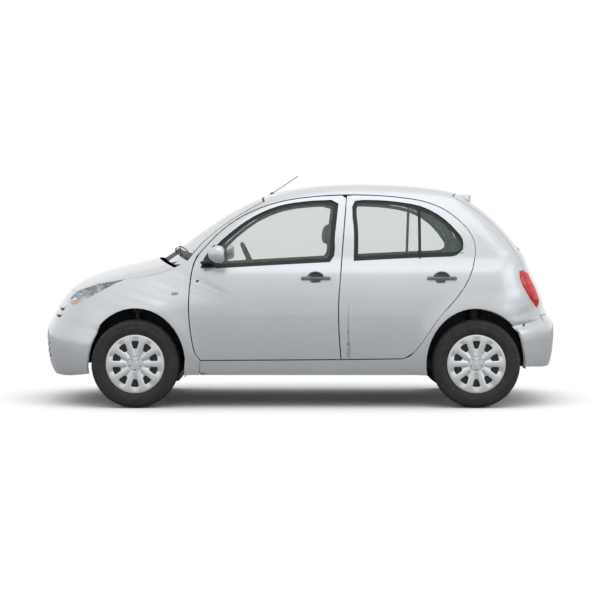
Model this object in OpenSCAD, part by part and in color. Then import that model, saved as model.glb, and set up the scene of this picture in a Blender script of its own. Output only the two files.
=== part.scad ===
// Five-door hatchback car, front-engined, with hinged doors, bonnet and tailgate, rolling wheels
// and front-wheel steering. Millimetres. The nose points to -X, the left side to -Y and +Z is up.
// The origin is on the ground, under the middle of the car.

/* [Overall] */
// Length over the bumpers
body_length = 3710; // [3300:10:4400]
// Width over the doors, without the mirrors
body_width = 1660; // [1500:5:1850]
// Height of the roof above the ground
body_height = 1580; // [1400:5:1750]
// Distance between the axles
wheelbase = 2372; // [2150:2:2750]
// Distance from the nose to the front axle
front_overhang = 709; // [640:1:850]

/* [Wheels] */
// Distance between the tyres' middle planes
track = 1460; // [1330:5:1600]
// Outer radius of the tyres
tyre_radius = 307; // [280:1:335]
// Width of the tyres
tyre_width = 175; // [155:5:195]
// Radius of the rims at the bead
rim_radius = 196; // [170:1:215]
// Number of spokes on the wheel covers
spoke_count = 10; // [5:1:14]
// Gap from the tyre to the wheel arch in front and behind
arch_gap = 42; // [35:1:60]
// Gap from the tyre to the wheel arch above it
arch_top_gap = 82; // [60:1:100]

/* [Panels] */
// Visible gap between two panels
shut_gap = 8; // [6:0.5:10]
// Thickness of the doors below the windows
door_depth = 70; // [50:1:90]
// Thickness of the door frames around the windows
frame_depth = 34; // [25:1:45]
// Thickness of the panels' edges, where they overlap a frame or a hinge
flange = 3.5; // [3:0.5:7]
// Width of the thin edge around each door
rebate = 44; // [38:1:55]
// Width of the thin edge in front of each door's hinges
hinge_rebate = 66; // [60:1:75]
// Thickness of the roof with its lining
roof_depth = 34; // [25:1:50]
// Thickness of the bonnet, the wings and the bumpers
panel_depth = 14; // [8:1:20]
// Thickness of the glass
glass_thickness = 4; // [3:0.5:6]
// Depth of the glass behind the outer surface
glass_inset = 9; // [5:1:15]

/* [Hinges] */
// Radius of the hinge pins
pin_radius = 4; // [3.5:0.5:5]
// Wall of the eye round a hinge pin
eye_wall = 1.8; // [1.5:0.1:2.5]
// Radial clearance of every turning pin
pin_clearance = 0.05; // [0.02:0.01:0.1]
// Distance of the bonnet's hinge axis in front of the bonnet's rear edge
hinge_back = 24; // [20:1:30]
// Depth of the bonnet's hinge axis under the outer surface
hinge_deep = 15; // [12:1:20]
// Distance of the tailgate's hinge axis behind the tailgate's foremost point
gate_hinge_back = 34; // [28:1:40]
// Depth of the tailgate's hinge axis under the outer surface
gate_hinge_deep = 13; // [11:0.5:14]
// Depth of the door hinges' axis under the widest part of the doors
door_hinge_deep = 10.5; // [9:0.5:13]
// Distance of the front door's hinge axis behind the foremost point of the door
front_hinge_back = 53; // [46:1:54]
// Distance of the rear door's hinge axis behind the foremost point of the door
rear_hinge_back = 30; // [28:1:36]

/* [Cabin] */
// Diameter of the steering wheel
steering_wheel_diameter = 370; // [340:5:400]
// Width of each front seat
seat_width = 480; // [420:5:520]

/* [Hidden] */
$fn = 48;

// ---- Design stations: outlines are drawn for the standard car and stretched to the chosen sizes ----
std_length = 3710;
std_width = 1660;
std_height = 1580;
std_front_axle = -1146;
std_rear_axle = 1226;
front_axle = front_overhang - body_length / 2;
rear_axle = front_axle + wheelbase;
stations = [[-std_length / 2, -body_length / 2], [std_front_axle, front_axle],
            [std_rear_axle, rear_axle], [std_length / 2, body_length / 2]];
unstations = [for (s = stations) [s[1], s[0]]];
levels = [[0, 0], [200, 200], [std_height, body_height], [2 * std_height, 2 * body_height - 200]];
unlevels = [for (s = levels) [s[1], s[0]]];
width_scale = body_width / std_width;
function at_x(x) = lookup(x, stations);
function at_z(z) = lookup(z, levels);
function at_xz(p) = [at_x(p[0]), at_z(p[1])];

// ---- Curves ----
function chord(a, b) = max(norm(b - a), 0.001);
function tangent(p, i) =
  let (n = len(p) - 1)
  i == 0 ? (p[1] - p[0]) / chord(p[0], p[1]) :
  i == n ? (p[n] - p[n - 1]) / chord(p[n - 1], p[n]) :
  let (d0 = chord(p[i - 1], p[i]), d1 = chord(p[i], p[i + 1]))
  ((p[i] - p[i - 1]) / d0 * d1 + (p[i + 1] - p[i]) / d1 * d0) / (d0 + d1);
function hermite(p, i, t) =
  let (d = chord(p[i], p[i + 1]), u = t * t, v = t * t * t)
  (2 * v - 3 * u + 1) * p[i] + (v - 2 * u + t) * d * tangent(p, i)
  + (3 * u - 2 * v) * p[i + 1] + (v - u) * d * tangent(p, i + 1);
function curve(p, per = 6) =
  [for (i = [0 : len(p) - 2]) for (k = [0 : per - 1]) hermite(p, i, k / per), p[len(p) - 1]];
function lengths(p) =
  [for (i = 0, s = 0; i < len(p); s = s + (i + 1 < len(p) ? norm(p[i + 1] - p[i]) : 0), i = i + 1) s];
// n equal steps along a line of points, with its last point
function evenly(p, n) =
  let (s = lengths(p), whole = s[len(s) - 1],
       along = [for (axis = [0 : len(p[0]) - 1]) [for (i = [0 : len(p) - 1]) [s[i], p[i][axis]]]])
  [for (k = [0 : n]) [for (axis = [0 : len(p[0]) - 1]) lookup(whole * k / n, along[axis])]];
function line(points, n) = evenly(curve(points), n);
function reversed(p) = [for (i = [len(p) - 1 : -1 : 0]) p[i]];
function without_last(p) = [for (i = [0 : len(p) - 2]) p[i]];
function mix(a, b, t) = a + (b - a) * t;

// ---- The outer skin ----
// Centreline profile from under the nose, over the roof, to under the tail
profile_points = [
  [-1600, -100], [-1700, 50], [-1760, 150], [-1796, 215], [-1822, 262], [-1840, 318], [-1851, 390], [-1855, 465], [-1848, 530],
  [-1826, 582], [-1796, 635], [-1762, 700], [-1712, 776], [-1648, 838], [-1560, 890], [-1440, 938],
  [-1310, 976], [-1190, 1004], [-1080, 1030], [-985, 1058], [-897, 1106], [-712, 1239], [-578, 1328],
  [-430, 1412], [-290, 1478], [-130, 1527], [60, 1561], [260, 1577], [460, 1580], [700, 1573],
  [900, 1556], [1060, 1532], [1165, 1500], [1255, 1446], [1330, 1395], [1395, 1342], [1490, 1250], [1575, 1147],
  [1630, 1078], [1662, 1000], [1695, 925], [1732, 852], [1756, 780], [1774, 700], [1800, 640],
  [1842, 585], [1855, 520], [1852, 450], [1843, 370], [1830, 312], [1812, 266], [1785, 206], [1740, 100], [1650, -100]
];
profile_centre = at_xz([0, 600]);
profile = [for (p = curve(profile_points, 5)) at_xz(p)];
function turn_of(x, z) = let (a = atan2(z, -x)) a < -90 ? a + 360 : a;
function side_step(i) = profile[min(i + 1, len(profile) - 1)] - profile[max(i - 1, 0)];
reach_table = [for (p = profile) let (d = p - profile_centre) [turn_of(d[0], d[1]), norm(d)]];
slant_table = [for (i = [0 : len(profile) - 1])
  let (d = profile[i] - profile_centre, t = side_step(i))
  [turn_of(d[0], d[1]), abs(d[0] * t[1] - d[1] * t[0]) / norm(d) / norm(t)]];
function profile_gap(x, z) =
  let (dx = x - profile_centre[0], dz = z - profile_centre[1], turn = turn_of(dx, dz))
  (norm([dx, dz]) - lookup(turn, reach_table)) * lookup(turn, slant_table);

// Half width against height, and how it narrows towards the ends
side_points = [[120, 752], [190, 778], [250, 797], [330, 812], [450, 824], [580, 830], [700, 829], [800, 823],
               [880, 811], [940, 795], [990, 772], [1040, 750], [1110, 728], [1200, 699], [1300, 661],
               [1400, 617], [1500, 566], [1600, 510], [1700, 455]];
side_table = [for (p = curve(side_points, 5)) [at_z(p[0]), p[1] * width_scale]];
plan_points = [[-1900, 0.945], [-1500, 0.966], [-1146, 0.981], [-700, 0.993], [-200, 0.999], [250, 1],
               [700, 0.997], [1226, 0.985], [1550, 0.968], [1900, 0.945]];
plan_table = [for (p = curve(plan_points, 5)) [at_x(p[0]), p[1]]];
// Setback of the ends, and drop of the top, away from the centreline
bow_table = [for (p = [[-1900, 165], [-1500, 150], [-1000, 118], [-600, 90], [-200, 48], [300, 0], [900, -30],
                       [1250, -60], [1650, -90], [1900, -125]]) [at_x(p[0]), p[1]]];
crown_table = [for (p = [[-1900, 22], [-1500, 44], [-1000, 52], [-600, 40], [0, 34], [800, 30], [1100, 26],
                         [1400, 30], [1900, 16]]) [at_x(p[0]), p[1]]];
// Radius where the sides turn into the top and the ends
corner_table = [for (p = [[150, 400], [600, 400], [850, 300], [1000, 215], [1150, 150], [1350, 130],
                          [1700, 130]]) [at_z(p[0]), p[1]]];
corner_power = 2.4;
arch_x = tyre_radius + arch_gap;
arch_z = tyre_radius + arch_top_gap;
flare_height = 11;
function arch_ratio(x, z, axle) = norm([(x - axle) / arch_x, (z - tyre_radius) / arch_z]);
function flare(x, z, axle) =
  let (out = (arch_ratio(x, z, axle) - 1) * arch_x / 75)
  out > 3 ? 0 : flare_height * exp(-out * out);
function half_width(x, z) =
  lookup(z, side_table) * lookup(x, plan_table) + flare(x, z, front_axle) + flare(x, z, rear_axle);
// Signed gap from a point to the skin, negative inside
function skin_gap(p) =
  let (across = abs(p[1]) / width_scale,
       a = abs(p[1]) - half_width(p[0], p[2]),
       b = profile_gap(p[0] - lookup(p[0], bow_table) * pow(across / 700, 2),
                       p[2] + lookup(p[0], crown_table) * pow(across / 600, 2)),
       r = lookup(p[2], corner_table),
       u = max(a + r, 0) / r, v = max(b + r, 0) / r)
  u == 0 && v == 0 ? max(a, b) : r * (pow(pow(u, corner_power) + pow(v, corner_power), 1 / corner_power) - 1);
// The point along a ray that lies at a depth under the skin, by the Illinois method
function cast(from, way, depth, lo, hi, flo, fhi, n) =
  let (t = (lo * fhi - hi * flo) / (fhi - flo), f = skin_gap(from + way * t) + depth)
  n == 0 || abs(f) < 0.02 ? from + way * t :
  f > 0 ? cast(from, way, depth, lo, t, flo * (fhi > 0 && n % 2 == 0 ? 0.5 : 1), f, n - 1)
        : cast(from, way, depth, t, hi, f, fhi * (n % 2 == 0 ? 0.5 : 1), n - 1);
function skin(from, way, depth = 0, far = 1400) =
  let (u = way / norm(way))
  cast(from, u, depth, 0, far, skin_gap(from) + depth, skin_gap(from + u * far) + depth, 16);
// Points on the skin seen from the left side, from above, from the front and from the rear
function on_side(p, depth = 0) = skin([p[0], 0, p[1]], [0, -1, 0], depth);
function on_top(p, depth = 0) = skin([p[0], p[1], 0.5 * body_height], [0, 0, 1], depth);
function on_front(p, depth = 0) = skin([at_x(-600), p[0], p[1]], [-1, 0, 0], depth, 1500);
function on_screen(p, depth = 0) = skin([at_x(600), p[0], p[1]], [-1, 0, 0], depth, 2200);
function on_rear(p, depth = 0) = skin([at_x(500), p[0], p[1]], [1, 0, 0], depth, 1700);

// ---- Solids from grids of points ----
// A closed solid between two grids of the same size. With wrap, the last row joins the first.
module slab(outer, inner, wrap = false) {
  rows = len(outer);
  cols = len(outer[0]);
  step = rows * cols;
  last = wrap ? rows - 1 : rows - 2;
  points = concat([for (r = outer) each r], [for (r = inner) each r]);
  quads = concat(
    [for (i = [0 : last]) for (j = [0 : cols - 2]) let (a = i * cols + j, b = (i + 1) % rows * cols + j)
      each [[a, a + 1, b + 1, b], [step + b, step + b + 1, step + a + 1, step + a]]],
    [for (i = [0 : last]) let (a = i * cols, b = (i + 1) % rows * cols, c = cols - 1)
      each [[a, b, b + step, a + step], [a + c, a + c + step, b + c + step, b + c]]],
    wrap ? [] : [for (j = [0 : cols - 2]) let (a = (rows - 1) * cols + j)
      each [[j, j + step, j + 1 + step, j + 1], [a + 1, a + 1 + step, a + step, a]]]);
  sides = [for (q = quads) each [[q[0], q[1], q[2]], [q[0], q[2], q[3]]]];
  // Faces run clockwise seen from outside
  i = floor(rows / 2) - 1;
  j = floor(cols / 2);
  face = cross(outer[i][j] - outer[i][j - 1], outer[i + 1][j] - outer[i][j - 1]);
  polyhedron(points, face * (outer[i][j] - inner[i][j]) > 0 ? [for (f = sides) reversed(f)] : sides);
}
module both_sides() {
  children();
  mirror([0, 1, 0]) children();
}
module right_side(mirrored) {
  if (mirrored) mirror([0, 1, 0]) children();
  else children();
}
module turned_y(length) {
  rotate([90, 0, 0]) translate([0, 0, -length / 2]) children();
}

// The point on the skin where a ray from the middle of the car through p leaves it
core = [0, 0, at_z(600)];
function project(p, depth = 0) = skin(core, p - core, depth, 2600);
function pull(a, b, distance) = a + (b - a) / chord(a, b) * distance;
function transpose(grid) = [for (j = [0 : len(grid[0]) - 1]) [for (r = grid) r[j]]];
function trim_ends(grid, first, last) =
  [for (r = grid) let (n = len(r) - 1)
    [for (j = [0 : n]) j == 0 ? pull(r[0], r[1], first) : j == n ? pull(r[n], r[n - 1], last) : r[j]]];
// Draw a grid's four edges in by the given distances
function trim(grid, row_starts, row_ends, first_row, last_row) =
  transpose(trim_ends(transpose(trim_ends(grid, row_starts, row_ends)), first_row, last_row));
function between(a, b, steps) = [for (k = [0 : len(a) - 1]) [for (t = steps) mix(a[k], b[k], t)]];
function across(path, steps) =
  [for (p = path) [for (t = steps) [p[0], p[1] * (1 - 2 * t), p[2]]]];
function even_steps(n) = [for (i = [0 : n]) i / n];
// A panel from a grid of seeds: its outer face on the skin, its inner face at the depth
module panel(seeds, depth, edge_rows = 0, edge_cols = 0, base = 0) {
  rows = len(seeds) - 1;
  cols = len(seeds[0]) - 1;
  outer = [for (r = seeds) [for (p = r) project(p, base)]];
  inner = [for (i = [0 : rows]) [for (j = [0 : cols])
    project(seeds[i][j], base + ((min(i, rows - i) < edge_rows || min(j, cols - j) < edge_cols) ? flange : depth))]];
  slab(outer, inner);
}

// ---- Outlines in side view ----
door_front_low = [[-692, 331], [-722, 362], [-744, 430], [-762, 540], [-773, 660], [-772, 800], [-762, 906],
                  [-748, 985], [-725, 1052]];
door_top_front = [[-725, 1052], [-640, 1148], [-522, 1259], [-402, 1339], [-280, 1395], [-118, 1444], [85, 1474],
                  [331, 1488]];
door_top_rear = [[331, 1488], [530, 1484], [728, 1467], [878, 1441], [997, 1396], [1105, 1321], [1183, 1239],
                 [1222, 1165], [1231, 1108]];
door_rear = [[1231, 1108], [1221, 1030], [1195, 941], [1146, 843], [1072, 745], [980, 645], [887, 513],
             [815, 410], [775, 368], [714, 343]];
door_split = [[285, 338], [271, 524], [268, 731], [282, 916], [307, 1216], [331, 1488]];
front_window_bottom = [[-584, 970], [-300, 987], [208, 1014]];
front_window_rear = [[208, 1014], [222, 1028], [245, 1200], [272, 1425]];
front_window_top = [[-592, 1124], [-560, 1158], [-500, 1210], [-360, 1315], [-158, 1407], [42, 1442], [200, 1450],
                    [258, 1448], [272, 1425]];
front_window_front = [[-584, 970], [-602, 980], [-611, 1002], [-611, 1060], [-606, 1100], [-592, 1124]];
rear_window_bottom = [[374, 1022], [600, 1034], [838, 1045], [1062, 1053]];
rear_window_rear = [[1062, 1053], [1115, 1062], [1150, 1085], [1163, 1120], [1156, 1158]];
rear_window_top = [[392, 1452], [579, 1449], [727, 1433], [847, 1409], [955, 1362], [1053, 1288], [1120, 1209],
                   [1156, 1158]];
rear_window_front = [[374, 1022], [378, 1230], [381, 1436], [392, 1452]];
function stretch(points) = [for (p = points) at_xz(p)];
steps_bottom = 9;
steps_rear = 8;
steps_top = 15;
steps_front = 8;
// A loop of four sides: bottom, rear and up, top and forward, front and down
function loop(bottom, rear, top, front) =
  concat(without_last(line(stretch(bottom), steps_bottom)), without_last(line(stretch(rear), steps_rear)),
         without_last(reversed(line(stretch(top), steps_top))), without_last(reversed(line(stretch(front), steps_front))));
front_window_loop = loop(front_window_bottom, front_window_rear, front_window_top, front_window_front);
rear_window_loop = loop(rear_window_bottom, rear_window_rear, rear_window_top, rear_window_front);
function open_inset(points, distance) =
  let (n = len(points) - 1)
  [for (i = [0 : n]) let (t = points[min(i + 1, n)] - points[max(i - 1, 0)])
    points[i] + distance * [-t[1], t[0]] / norm(t)];
function inward(points, i) =
  let (n = len(points), t = points[(i + 1) % n] - points[(i + n - 1) % n])
  [-t[1], t[0]] / norm(t);
function inset(points, distance) =
  [for (i = [0 : len(points) - 1]) points[i] + distance * inward(points, i)];

// ---- Doors ----
belt_z = at_z(965);
function door_thickness(z) =
  mix(door_depth, frame_depth, min(max((z - belt_z + 40) / 60, 0), 1));
// A closed solid between two equal sets of points that share the same four-sided faces
module shell(outer, inner, quads) {
  n = len(outer);
  edges = [for (q = quads) each [[q[0], q[1]], [q[1], q[2]], [q[2], q[3]], [q[3], q[0]]]];
  keys = [for (e = edges) e[0] * n + e[1]];
  rims = [for (e = edges) if (len(search(e[1] * n + e[0], keys)) == 0) [e[1], e[0], e[0] + n, e[1] + n]];
  all_quads = concat(quads, [for (q = quads) [q[3] + n, q[2] + n, q[1] + n, q[0] + n]], rims);
  polyhedron(concat(outer, inner), [for (q = all_quads) each [[q[0], q[1], q[2]], [q[0], q[2], q[3]]]]);
}
function edge_table(points) = [for (p = curve(stretch(points))) [p[1], p[0]]];
door_rows = 9;
// A door in side view: its front and rear edges, its bottom and top, and its window
module door_shell(front, rear, bottom, top, window) {
  front_x = edge_table(front);
  rear_x = edge_table(rear);
  gap = shut_gap / 2;
  sides = steps_rear + steps_top + steps_front;
  low = [for (k = [0 : steps_bottom]) window[k]];
  low_left = low[0];
  low_right = low[steps_bottom];
  // The upper edge of the door from the waist behind the window to the waist in front of it
  high_rear = [for (p = curve(stretch(rear))) if (p[1] > low_right[1] + 12) p];
  high_front = [for (p = curve(stretch(front))) if (p[1] > low_left[1] + 12) p];
  rear_waist = [lookup(low_right[1], rear_x), low_right[1]];
  front_waist = [lookup(low_left[1], front_x), low_left[1]];
  whole_edge = concat([rear_waist], without_last(high_rear), reversed(curve(stretch(top))),
    reversed(without_last(high_front)), [front_waist]);
  edge = open_inset(evenly(whole_edge, sides), gap);
  ring = [for (k = [0 : sides]) let (w = window[(steps_bottom + k) % len(window)], e = edge[k], d = norm(w - e),
    thin = min(rebate, 0.42 * d)) [e, e + (w - e) * thin / d, e + (w - e) * (thin + 1.5) / d, w]];
  waist = concat(ring[sides], [for (k = [1 : steps_bottom - 1]) low[k]], reversed(ring[0]));
  cols = len(waist) - 1;
  floor_left = at_z(bottom[0]) + gap;
  floor_right = at_z(bottom[1]) + gap;
  rise = low_left[1] - floor_left;
  levels_up = concat([0, rebate / rise, (rebate + 1.5) / rise],
    [for (i = [1 : door_rows - 1]) mix((rebate + 1.5) / rise, 1, i / door_rows)]);
  grid = concat([for (v = levels_up)
    let (zf = mix(floor_left, front_waist[1], v), zr = mix(floor_right, rear_waist[1], v),
         xf = lookup(zf, front_x) + gap, xr = lookup(zr, rear_x) - gap, w = xr - xf)
    [for (j = [0 : cols])
      let (f = (waist[j][0] - waist[0][0]) / (waist[cols][0] - waist[0][0]),
           x = j == 1 ? xf + hinge_rebate : j == 2 ? xf + hinge_rebate + 1.5 : j == cols - 1 ? xr - rebate :
             j == cols - 2 ? xr - rebate - 1.5 : mix(xf, xr, f))
      [x, mix(mix(floor_left, floor_right, f), waist[j][1], v)]]], [waist]);
  rows = len(grid) - 1;
  low_count = (rows + 1) * (cols + 1);
  flat = concat([for (r = grid) each r], [for (k = [1 : sides - 1]) each ring[k]]);
  depth = concat(
    [for (i = [0 : rows]) for (j = [0 : cols]) (i < 2 || j < 2 || j > cols - 2) ? flange : door_thickness(grid[i][j][1])],
    [for (k = [1 : sides - 1]) for (j = [0 : 3]) j < 2 ? flange : door_thickness(ring[k][j][1])]);
  at = function (k, j) k == 0 ? rows * (cols + 1) + cols - j : k == sides ? rows * (cols + 1) + j :
    low_count + (k - 1) * 4 + j;
  quads = concat(
    [for (i = [0 : rows - 1]) for (j = [0 : cols - 1]) let (a = i * (cols + 1) + j)
      [a, a + 1, a + cols + 2, a + cols + 1]],
    [for (k = [0 : sides - 1]) for (j = [0 : 2]) [at(k, j), at(k + 1, j), at(k + 1, j + 1), at(k, j + 1)]]);
  shell([for (p = flat) on_side(p)], [for (i = [0 : len(flat) - 1]) on_side(flat[i], depth[i])],
    [for (q = quads) reversed(q)]);
}
module window_glass(window_loop, rows_up) {
  pane = inset(window_loop, 1.7);
  low = [for (k = [0 : steps_bottom]) pane[k]];
  high = [for (k = [0 : steps_bottom]) let (from = steps_bottom + steps_rear + steps_top,
          n = k / steps_bottom * steps_top) let (i = from - floor(n), f = n - floor(n))
          mix(pane[i], pane[max(i - 1, from - steps_top)], f)];
  left = [for (k = [0 : rows_up]) let (n = k / rows_up * steps_front, i = floor(n), f = n - i, total = len(pane))
          mix(pane[(total - i) % total], pane[(total - min(i + 1, steps_front)) % total], f)];
  right = [for (k = [0 : rows_up]) let (n = k / rows_up * steps_rear, i = floor(n), f = n - i)
          mix(pane[steps_bottom + i], pane[steps_bottom + min(i + 1, steps_rear)], f)];
  grid = [for (a = [0 : rows_up]) [for (b = [0 : steps_bottom])
    let (v = a / rows_up, u = b / steps_bottom)
    mix(left[a], right[a], u) + mix(low[b], high[b], v)
    - mix(mix(low[0], low[steps_bottom], u), mix(high[0], high[steps_bottom], u), v)]];
  outer = [for (r = grid) [for (p = r) on_side(p, glass_inset)]];
  inner = [for (r = grid) [for (p = r) on_side(p, glass_inset + glass_thickness)]];
  slab(outer, inner);
}
front_hinge_levels = [at_z(480), at_z(640)];
rear_hinge_levels = [at_z(520), at_z(690)];
hinge_height = 46;
// The axis and the slope of a hinge under the top skin
function top_hinge(x, y, deep = hinge_deep) =
  let (rise = on_top([x + 15, y])[2] - on_top([x - 15, y])[2], slope = atan2(rise, 30))
  [x + deep * sin(slope), on_top([x, y])[2] - deep * cos(slope), slope];
// A door hinge's vertical axis, near the skin where the door is widest
function door_axis(x, levels) =
  [x, max([for (z = levels) on_side([x, z])[1]]) + door_hinge_deep];
front_hinge = door_axis(at_x(-773) + shut_gap / 2 + front_hinge_back, front_hinge_levels);
rear_hinge = door_axis(at_x(268) + shut_gap / 2 + rear_hinge_back, rear_hinge_levels);
// The moving half of a hinge: a pin between two plates under the panel's flange. The axis is Z, the
// outside is towards -Y and the panel is towards +X. Each plate reaches out by its own height.
module pin_half(height = hinge_height, out = [hinge_deep - flange + 2, hinge_deep - flange + 2], reach = 22) {
  translate([0, 0, -height / 2]) cylinder(r = pin_radius, h = height);
  for (k = [0, 1]) translate([-pin_radius, -out[k], (k == 0 ? -height : height - 20) / 2])
    cube([reach + pin_radius, out[k] + pin_radius, 10]);
}
// The fixed half: an eye between the two plates, on an arm that reaches inwards
module eye_half(reach, height = 24) {
  difference() {
    union() {
      translate([0, 0, -height / 2]) cylinder(r = pin_radius + eye_wall, h = height);
      translate([-pin_radius - eye_wall, 0, -height / 2]) cube([2 * (pin_radius + eye_wall), reach, height]);
    }
    translate([0, 0, -13]) cylinder(r = pin_radius + pin_clearance, h = 26);
  }
}
module door_hinge(axis, levels) {
  for (z = levels) translate([axis[0], axis[1], z])
    pin_half(out = [for (k = [-18, 18]) axis[1] - on_side([axis[0] + 8, z + k])[1] - flange + 1.5], reach = 46);
}
module post_hinge(axis, levels, reach) {
  for (z = levels) translate([axis[0], axis[1], z]) eye_half(reach);
}
handle_z = at_z(905);
module door_handle(x) {
  p = on_side([x, handle_z]);
  translate([x, p[1] - 14, handle_z]) rotate([0, 0, 0]) {
    translate([-85, 0, -11]) cube([170, 8, 22]);
    for (side = [-1, 1]) translate([side * 72 - 11, 0, -9]) cube([22, 34, 18]);
  }
}
module front_door(mirrored) {
  color("silver") right_side(mirrored) {
    door_shell(door_front_low, door_split, [331, 338], door_top_front, front_window_loop);
    door_hinge(front_hinge, front_hinge_levels);
    door_handle(at_x(108));
  }
}
module rear_door(mirrored) {
  color("silver") right_side(mirrored) {
    door_shell(door_split, reversed(door_rear), [338, 343], door_top_rear, rear_window_loop);
    door_hinge(rear_hinge, rear_hinge_levels);
    door_handle(at_x(985));
  }
}
module front_door_glass(mirrored) {
  color("lightgrey", 0.4) right_side(mirrored) window_glass(front_window_loop, 7);
}
module rear_door_glass(mirrored) {
  color("lightgrey", 0.4) right_side(mirrored) window_glass(rear_window_loop, 7);
}

// ---- Lines that neighbouring panels share ----
seam = 0.6;
per = 6;
function part_of(points, from, to, n) = evenly([for (i = [from * per : to * per]) points[i]], n);
function left(points) = [for (p = points) [p[0], -p[1], p[2]]];
function all_on_side(points) = [for (p = points) on_side(at_xz(p))];
function all_on_top(points) = [for (p = points) on_top([at_x(p[0]), p[1] * width_scale])];
function all_on_front(points) = [for (p = points) on_front([p[0] * width_scale, at_z(p[1])])];
function all_on_rear(points) = [for (p = points) on_rear([p[0] * width_scale, at_z(p[1])])];
function arch(axle, from, to, n) =
  [for (i = [0 : n]) let (a = mix(from, to, i / n)) on_side([axle + arch_x * cos(a), tyre_radius + arch_z * sin(a)])];
// Around both doors: along the sill, up behind the rear door and forward over the windows
rear_line = curve(stretch(door_rear), per);
top_points = concat(reversed(door_top_rear), [for (i = [len(door_top_front) - 2 : -1 : 0]) door_top_front[i]]);
top_line = curve(stretch(top_points), per);
door_side = open_inset(concat(
  without_last(line(stretch([[-692, 331], [285, 338], [714, 343]]), 18)),
  without_last(reversed(part_of(rear_line, 3, 9, 20))),
  without_last(reversed(part_of(rear_line, 2, 3, 4))),
  without_last(reversed(part_of(rear_line, 0, 2, 6))),
  without_last(part_of(top_line, 0, 5, 11)),
  without_last(part_of(top_line, 5, 8, 8)),
  without_last(part_of(top_line, 8, 11, 8)),
  part_of(top_line, 11, len(top_points) - 1, 9)), -shut_gap / 2);
sill_z = at_z(229);
// The tailgate's edge, from the roof down past the tail lamp to the bumper
roof_corner = on_top([at_x(1084), -528 * width_scale]);
lamp_gate_top = on_rear([-642 * width_scale, at_z(955)]);
lamp_gate_foot = on_rear([-588 * width_scale, at_z(690)]);
gate_upper = line(concat([roof_corner],
  all_on_rear([[-548, 1450], [-572, 1380], [-598, 1270], [-622, 1160], [-640, 1060]]), [lamp_gate_top]), 9);
gate_lamp = line(concat([lamp_gate_top], all_on_rear([[-628, 880], [-606, 790]]), [lamp_gate_foot]), 6);
gate_foot = line([lamp_gate_foot, on_rear([-580 * width_scale, at_z(632)])], 2);
gate_edge = concat(without_last(gate_upper), without_last(gate_lamp), gate_foot);
tail_seam = line(all_on_side([[1491, 566], [1560, 600], [1620, 648], [1668, 694]]), 4);
lamp_edge = line(concat([tail_seam[4]], all_on_side([[1618, 755], [1573, 828], [1543, 890], [1536, 950]])), 6);
roof_seam = concat(
  without_last(line(concat([roof_corner], all_on_top([[900, -541], [700, -548], [500, -550], [331, -550]])), 8)),
  line(concat(all_on_top([[331, -550], [100, -548], [-80, -544]]), all_on_side([[-250, 1440]])), 8));
screen_foot = [-790, 1022];
screen_edge = line(all_on_side([[-250, 1440], [-389, 1366], [-530, 1276], [-667, 1165], [-745, 1081], screen_foot]), 9);
body_edge = concat(
  without_last([for (p = line([[at_x(-695), sill_z], [rear_axle - arch_x, sill_z]], 18)) on_side(p)]),
  without_last(arch(rear_axle, 192, 42, 20)),
  without_last(tail_seam), without_last(lamp_edge), [lamp_edge[6], mix(lamp_edge[6], lamp_gate_top, 0.5)],
  without_last(reversed(gate_upper)), without_last(roof_seam), screen_edge);
// The bonnet's edge from the windscreen forward
bonnet_rear = line(all_on_top([[-880, -664], [-960, -668], [-1080, -664], [-1225, -640]]), 9);
bonnet_front = line(all_on_top([[-1225, -640], [-1340, -612], [-1450, -574], [-1530, -532], [-1592, -482]]), 9);
bonnet_edge = concat(without_last(bonnet_rear), bonnet_front);
bonnet_corner = bonnet_front[9];
arch_end = 138;
arch_corner = on_side([front_axle + arch_x * cos(arch_end), tyre_radius + arch_z * sin(arch_end)]);
lamp_corner = on_side(at_xz([-1564, 722]));
lamp_heel = line(concat([lamp_corner], all_on_side([[-1439, 788], [-1311, 860], [-1236, 893]]), [bonnet_rear[9]]), 5);
lamp_inner = on_front([bonnet_corner[1], bonnet_corner[2] - 46]);
lamp_toe = line(concat([lamp_corner], all_on_front([[-600, 714], [-540, 722]]), [lamp_inner]), 5);
bumper_seam = line(concat([arch_corner], all_on_side([[-1470, 655]]), [lamp_corner]), 3);
function front_row(n) = [for (i = [0 : n]) project([bonnet_corner[0], bonnet_corner[1] * (1 - i / n), bonnet_corner[2]])];
function rear_row(n) = let (p = gate_foot[2]) [for (i = [0 : n]) project([p[0], p[1] * (1 - i / n), p[2]])];

// ---- Fixed panels ----
// Distance of the front pillar inside the front door's hinge axis, clear of the opening door
pillar_in = 63;
module side_frame() {
  seeds = trim(between([for (p = door_side) on_side(p)], body_edge, [0, 0.12, 0.34, 0.56, 0.78, 1]), 0, seam / 2, 0, 0);
  panel(seeds, 26, edge_cols = 1);
  // Front and middle pillars, the sill's box and the hinge eyes
  translate([front_hinge[0] - 62, front_hinge[1] + pillar_in, at_z(240)]) cube([72, 49, at_z(845) - at_z(240)]);
  translate([rear_hinge[0] - 56, rear_hinge[1] + 50, at_z(240)]) cube([66, 60, at_z(960) - at_z(240)]);
  translate([at_x(-684), 30 - half_width(0, at_z(300)), sill_z])
    cube([rear_axle - arch_x - at_x(-684), 80, 96]);
  translate([front_hinge[0] - 62, 60 - half_width(0, at_z(300)), sill_z + 8]) cube([120, 50, 88]);
  upper_pillar();
  post_hinge(front_hinge, front_hinge_levels, pillar_in + 2);
  post_hinge(rear_hinge, rear_hinge_levels, 52);
}
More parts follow.
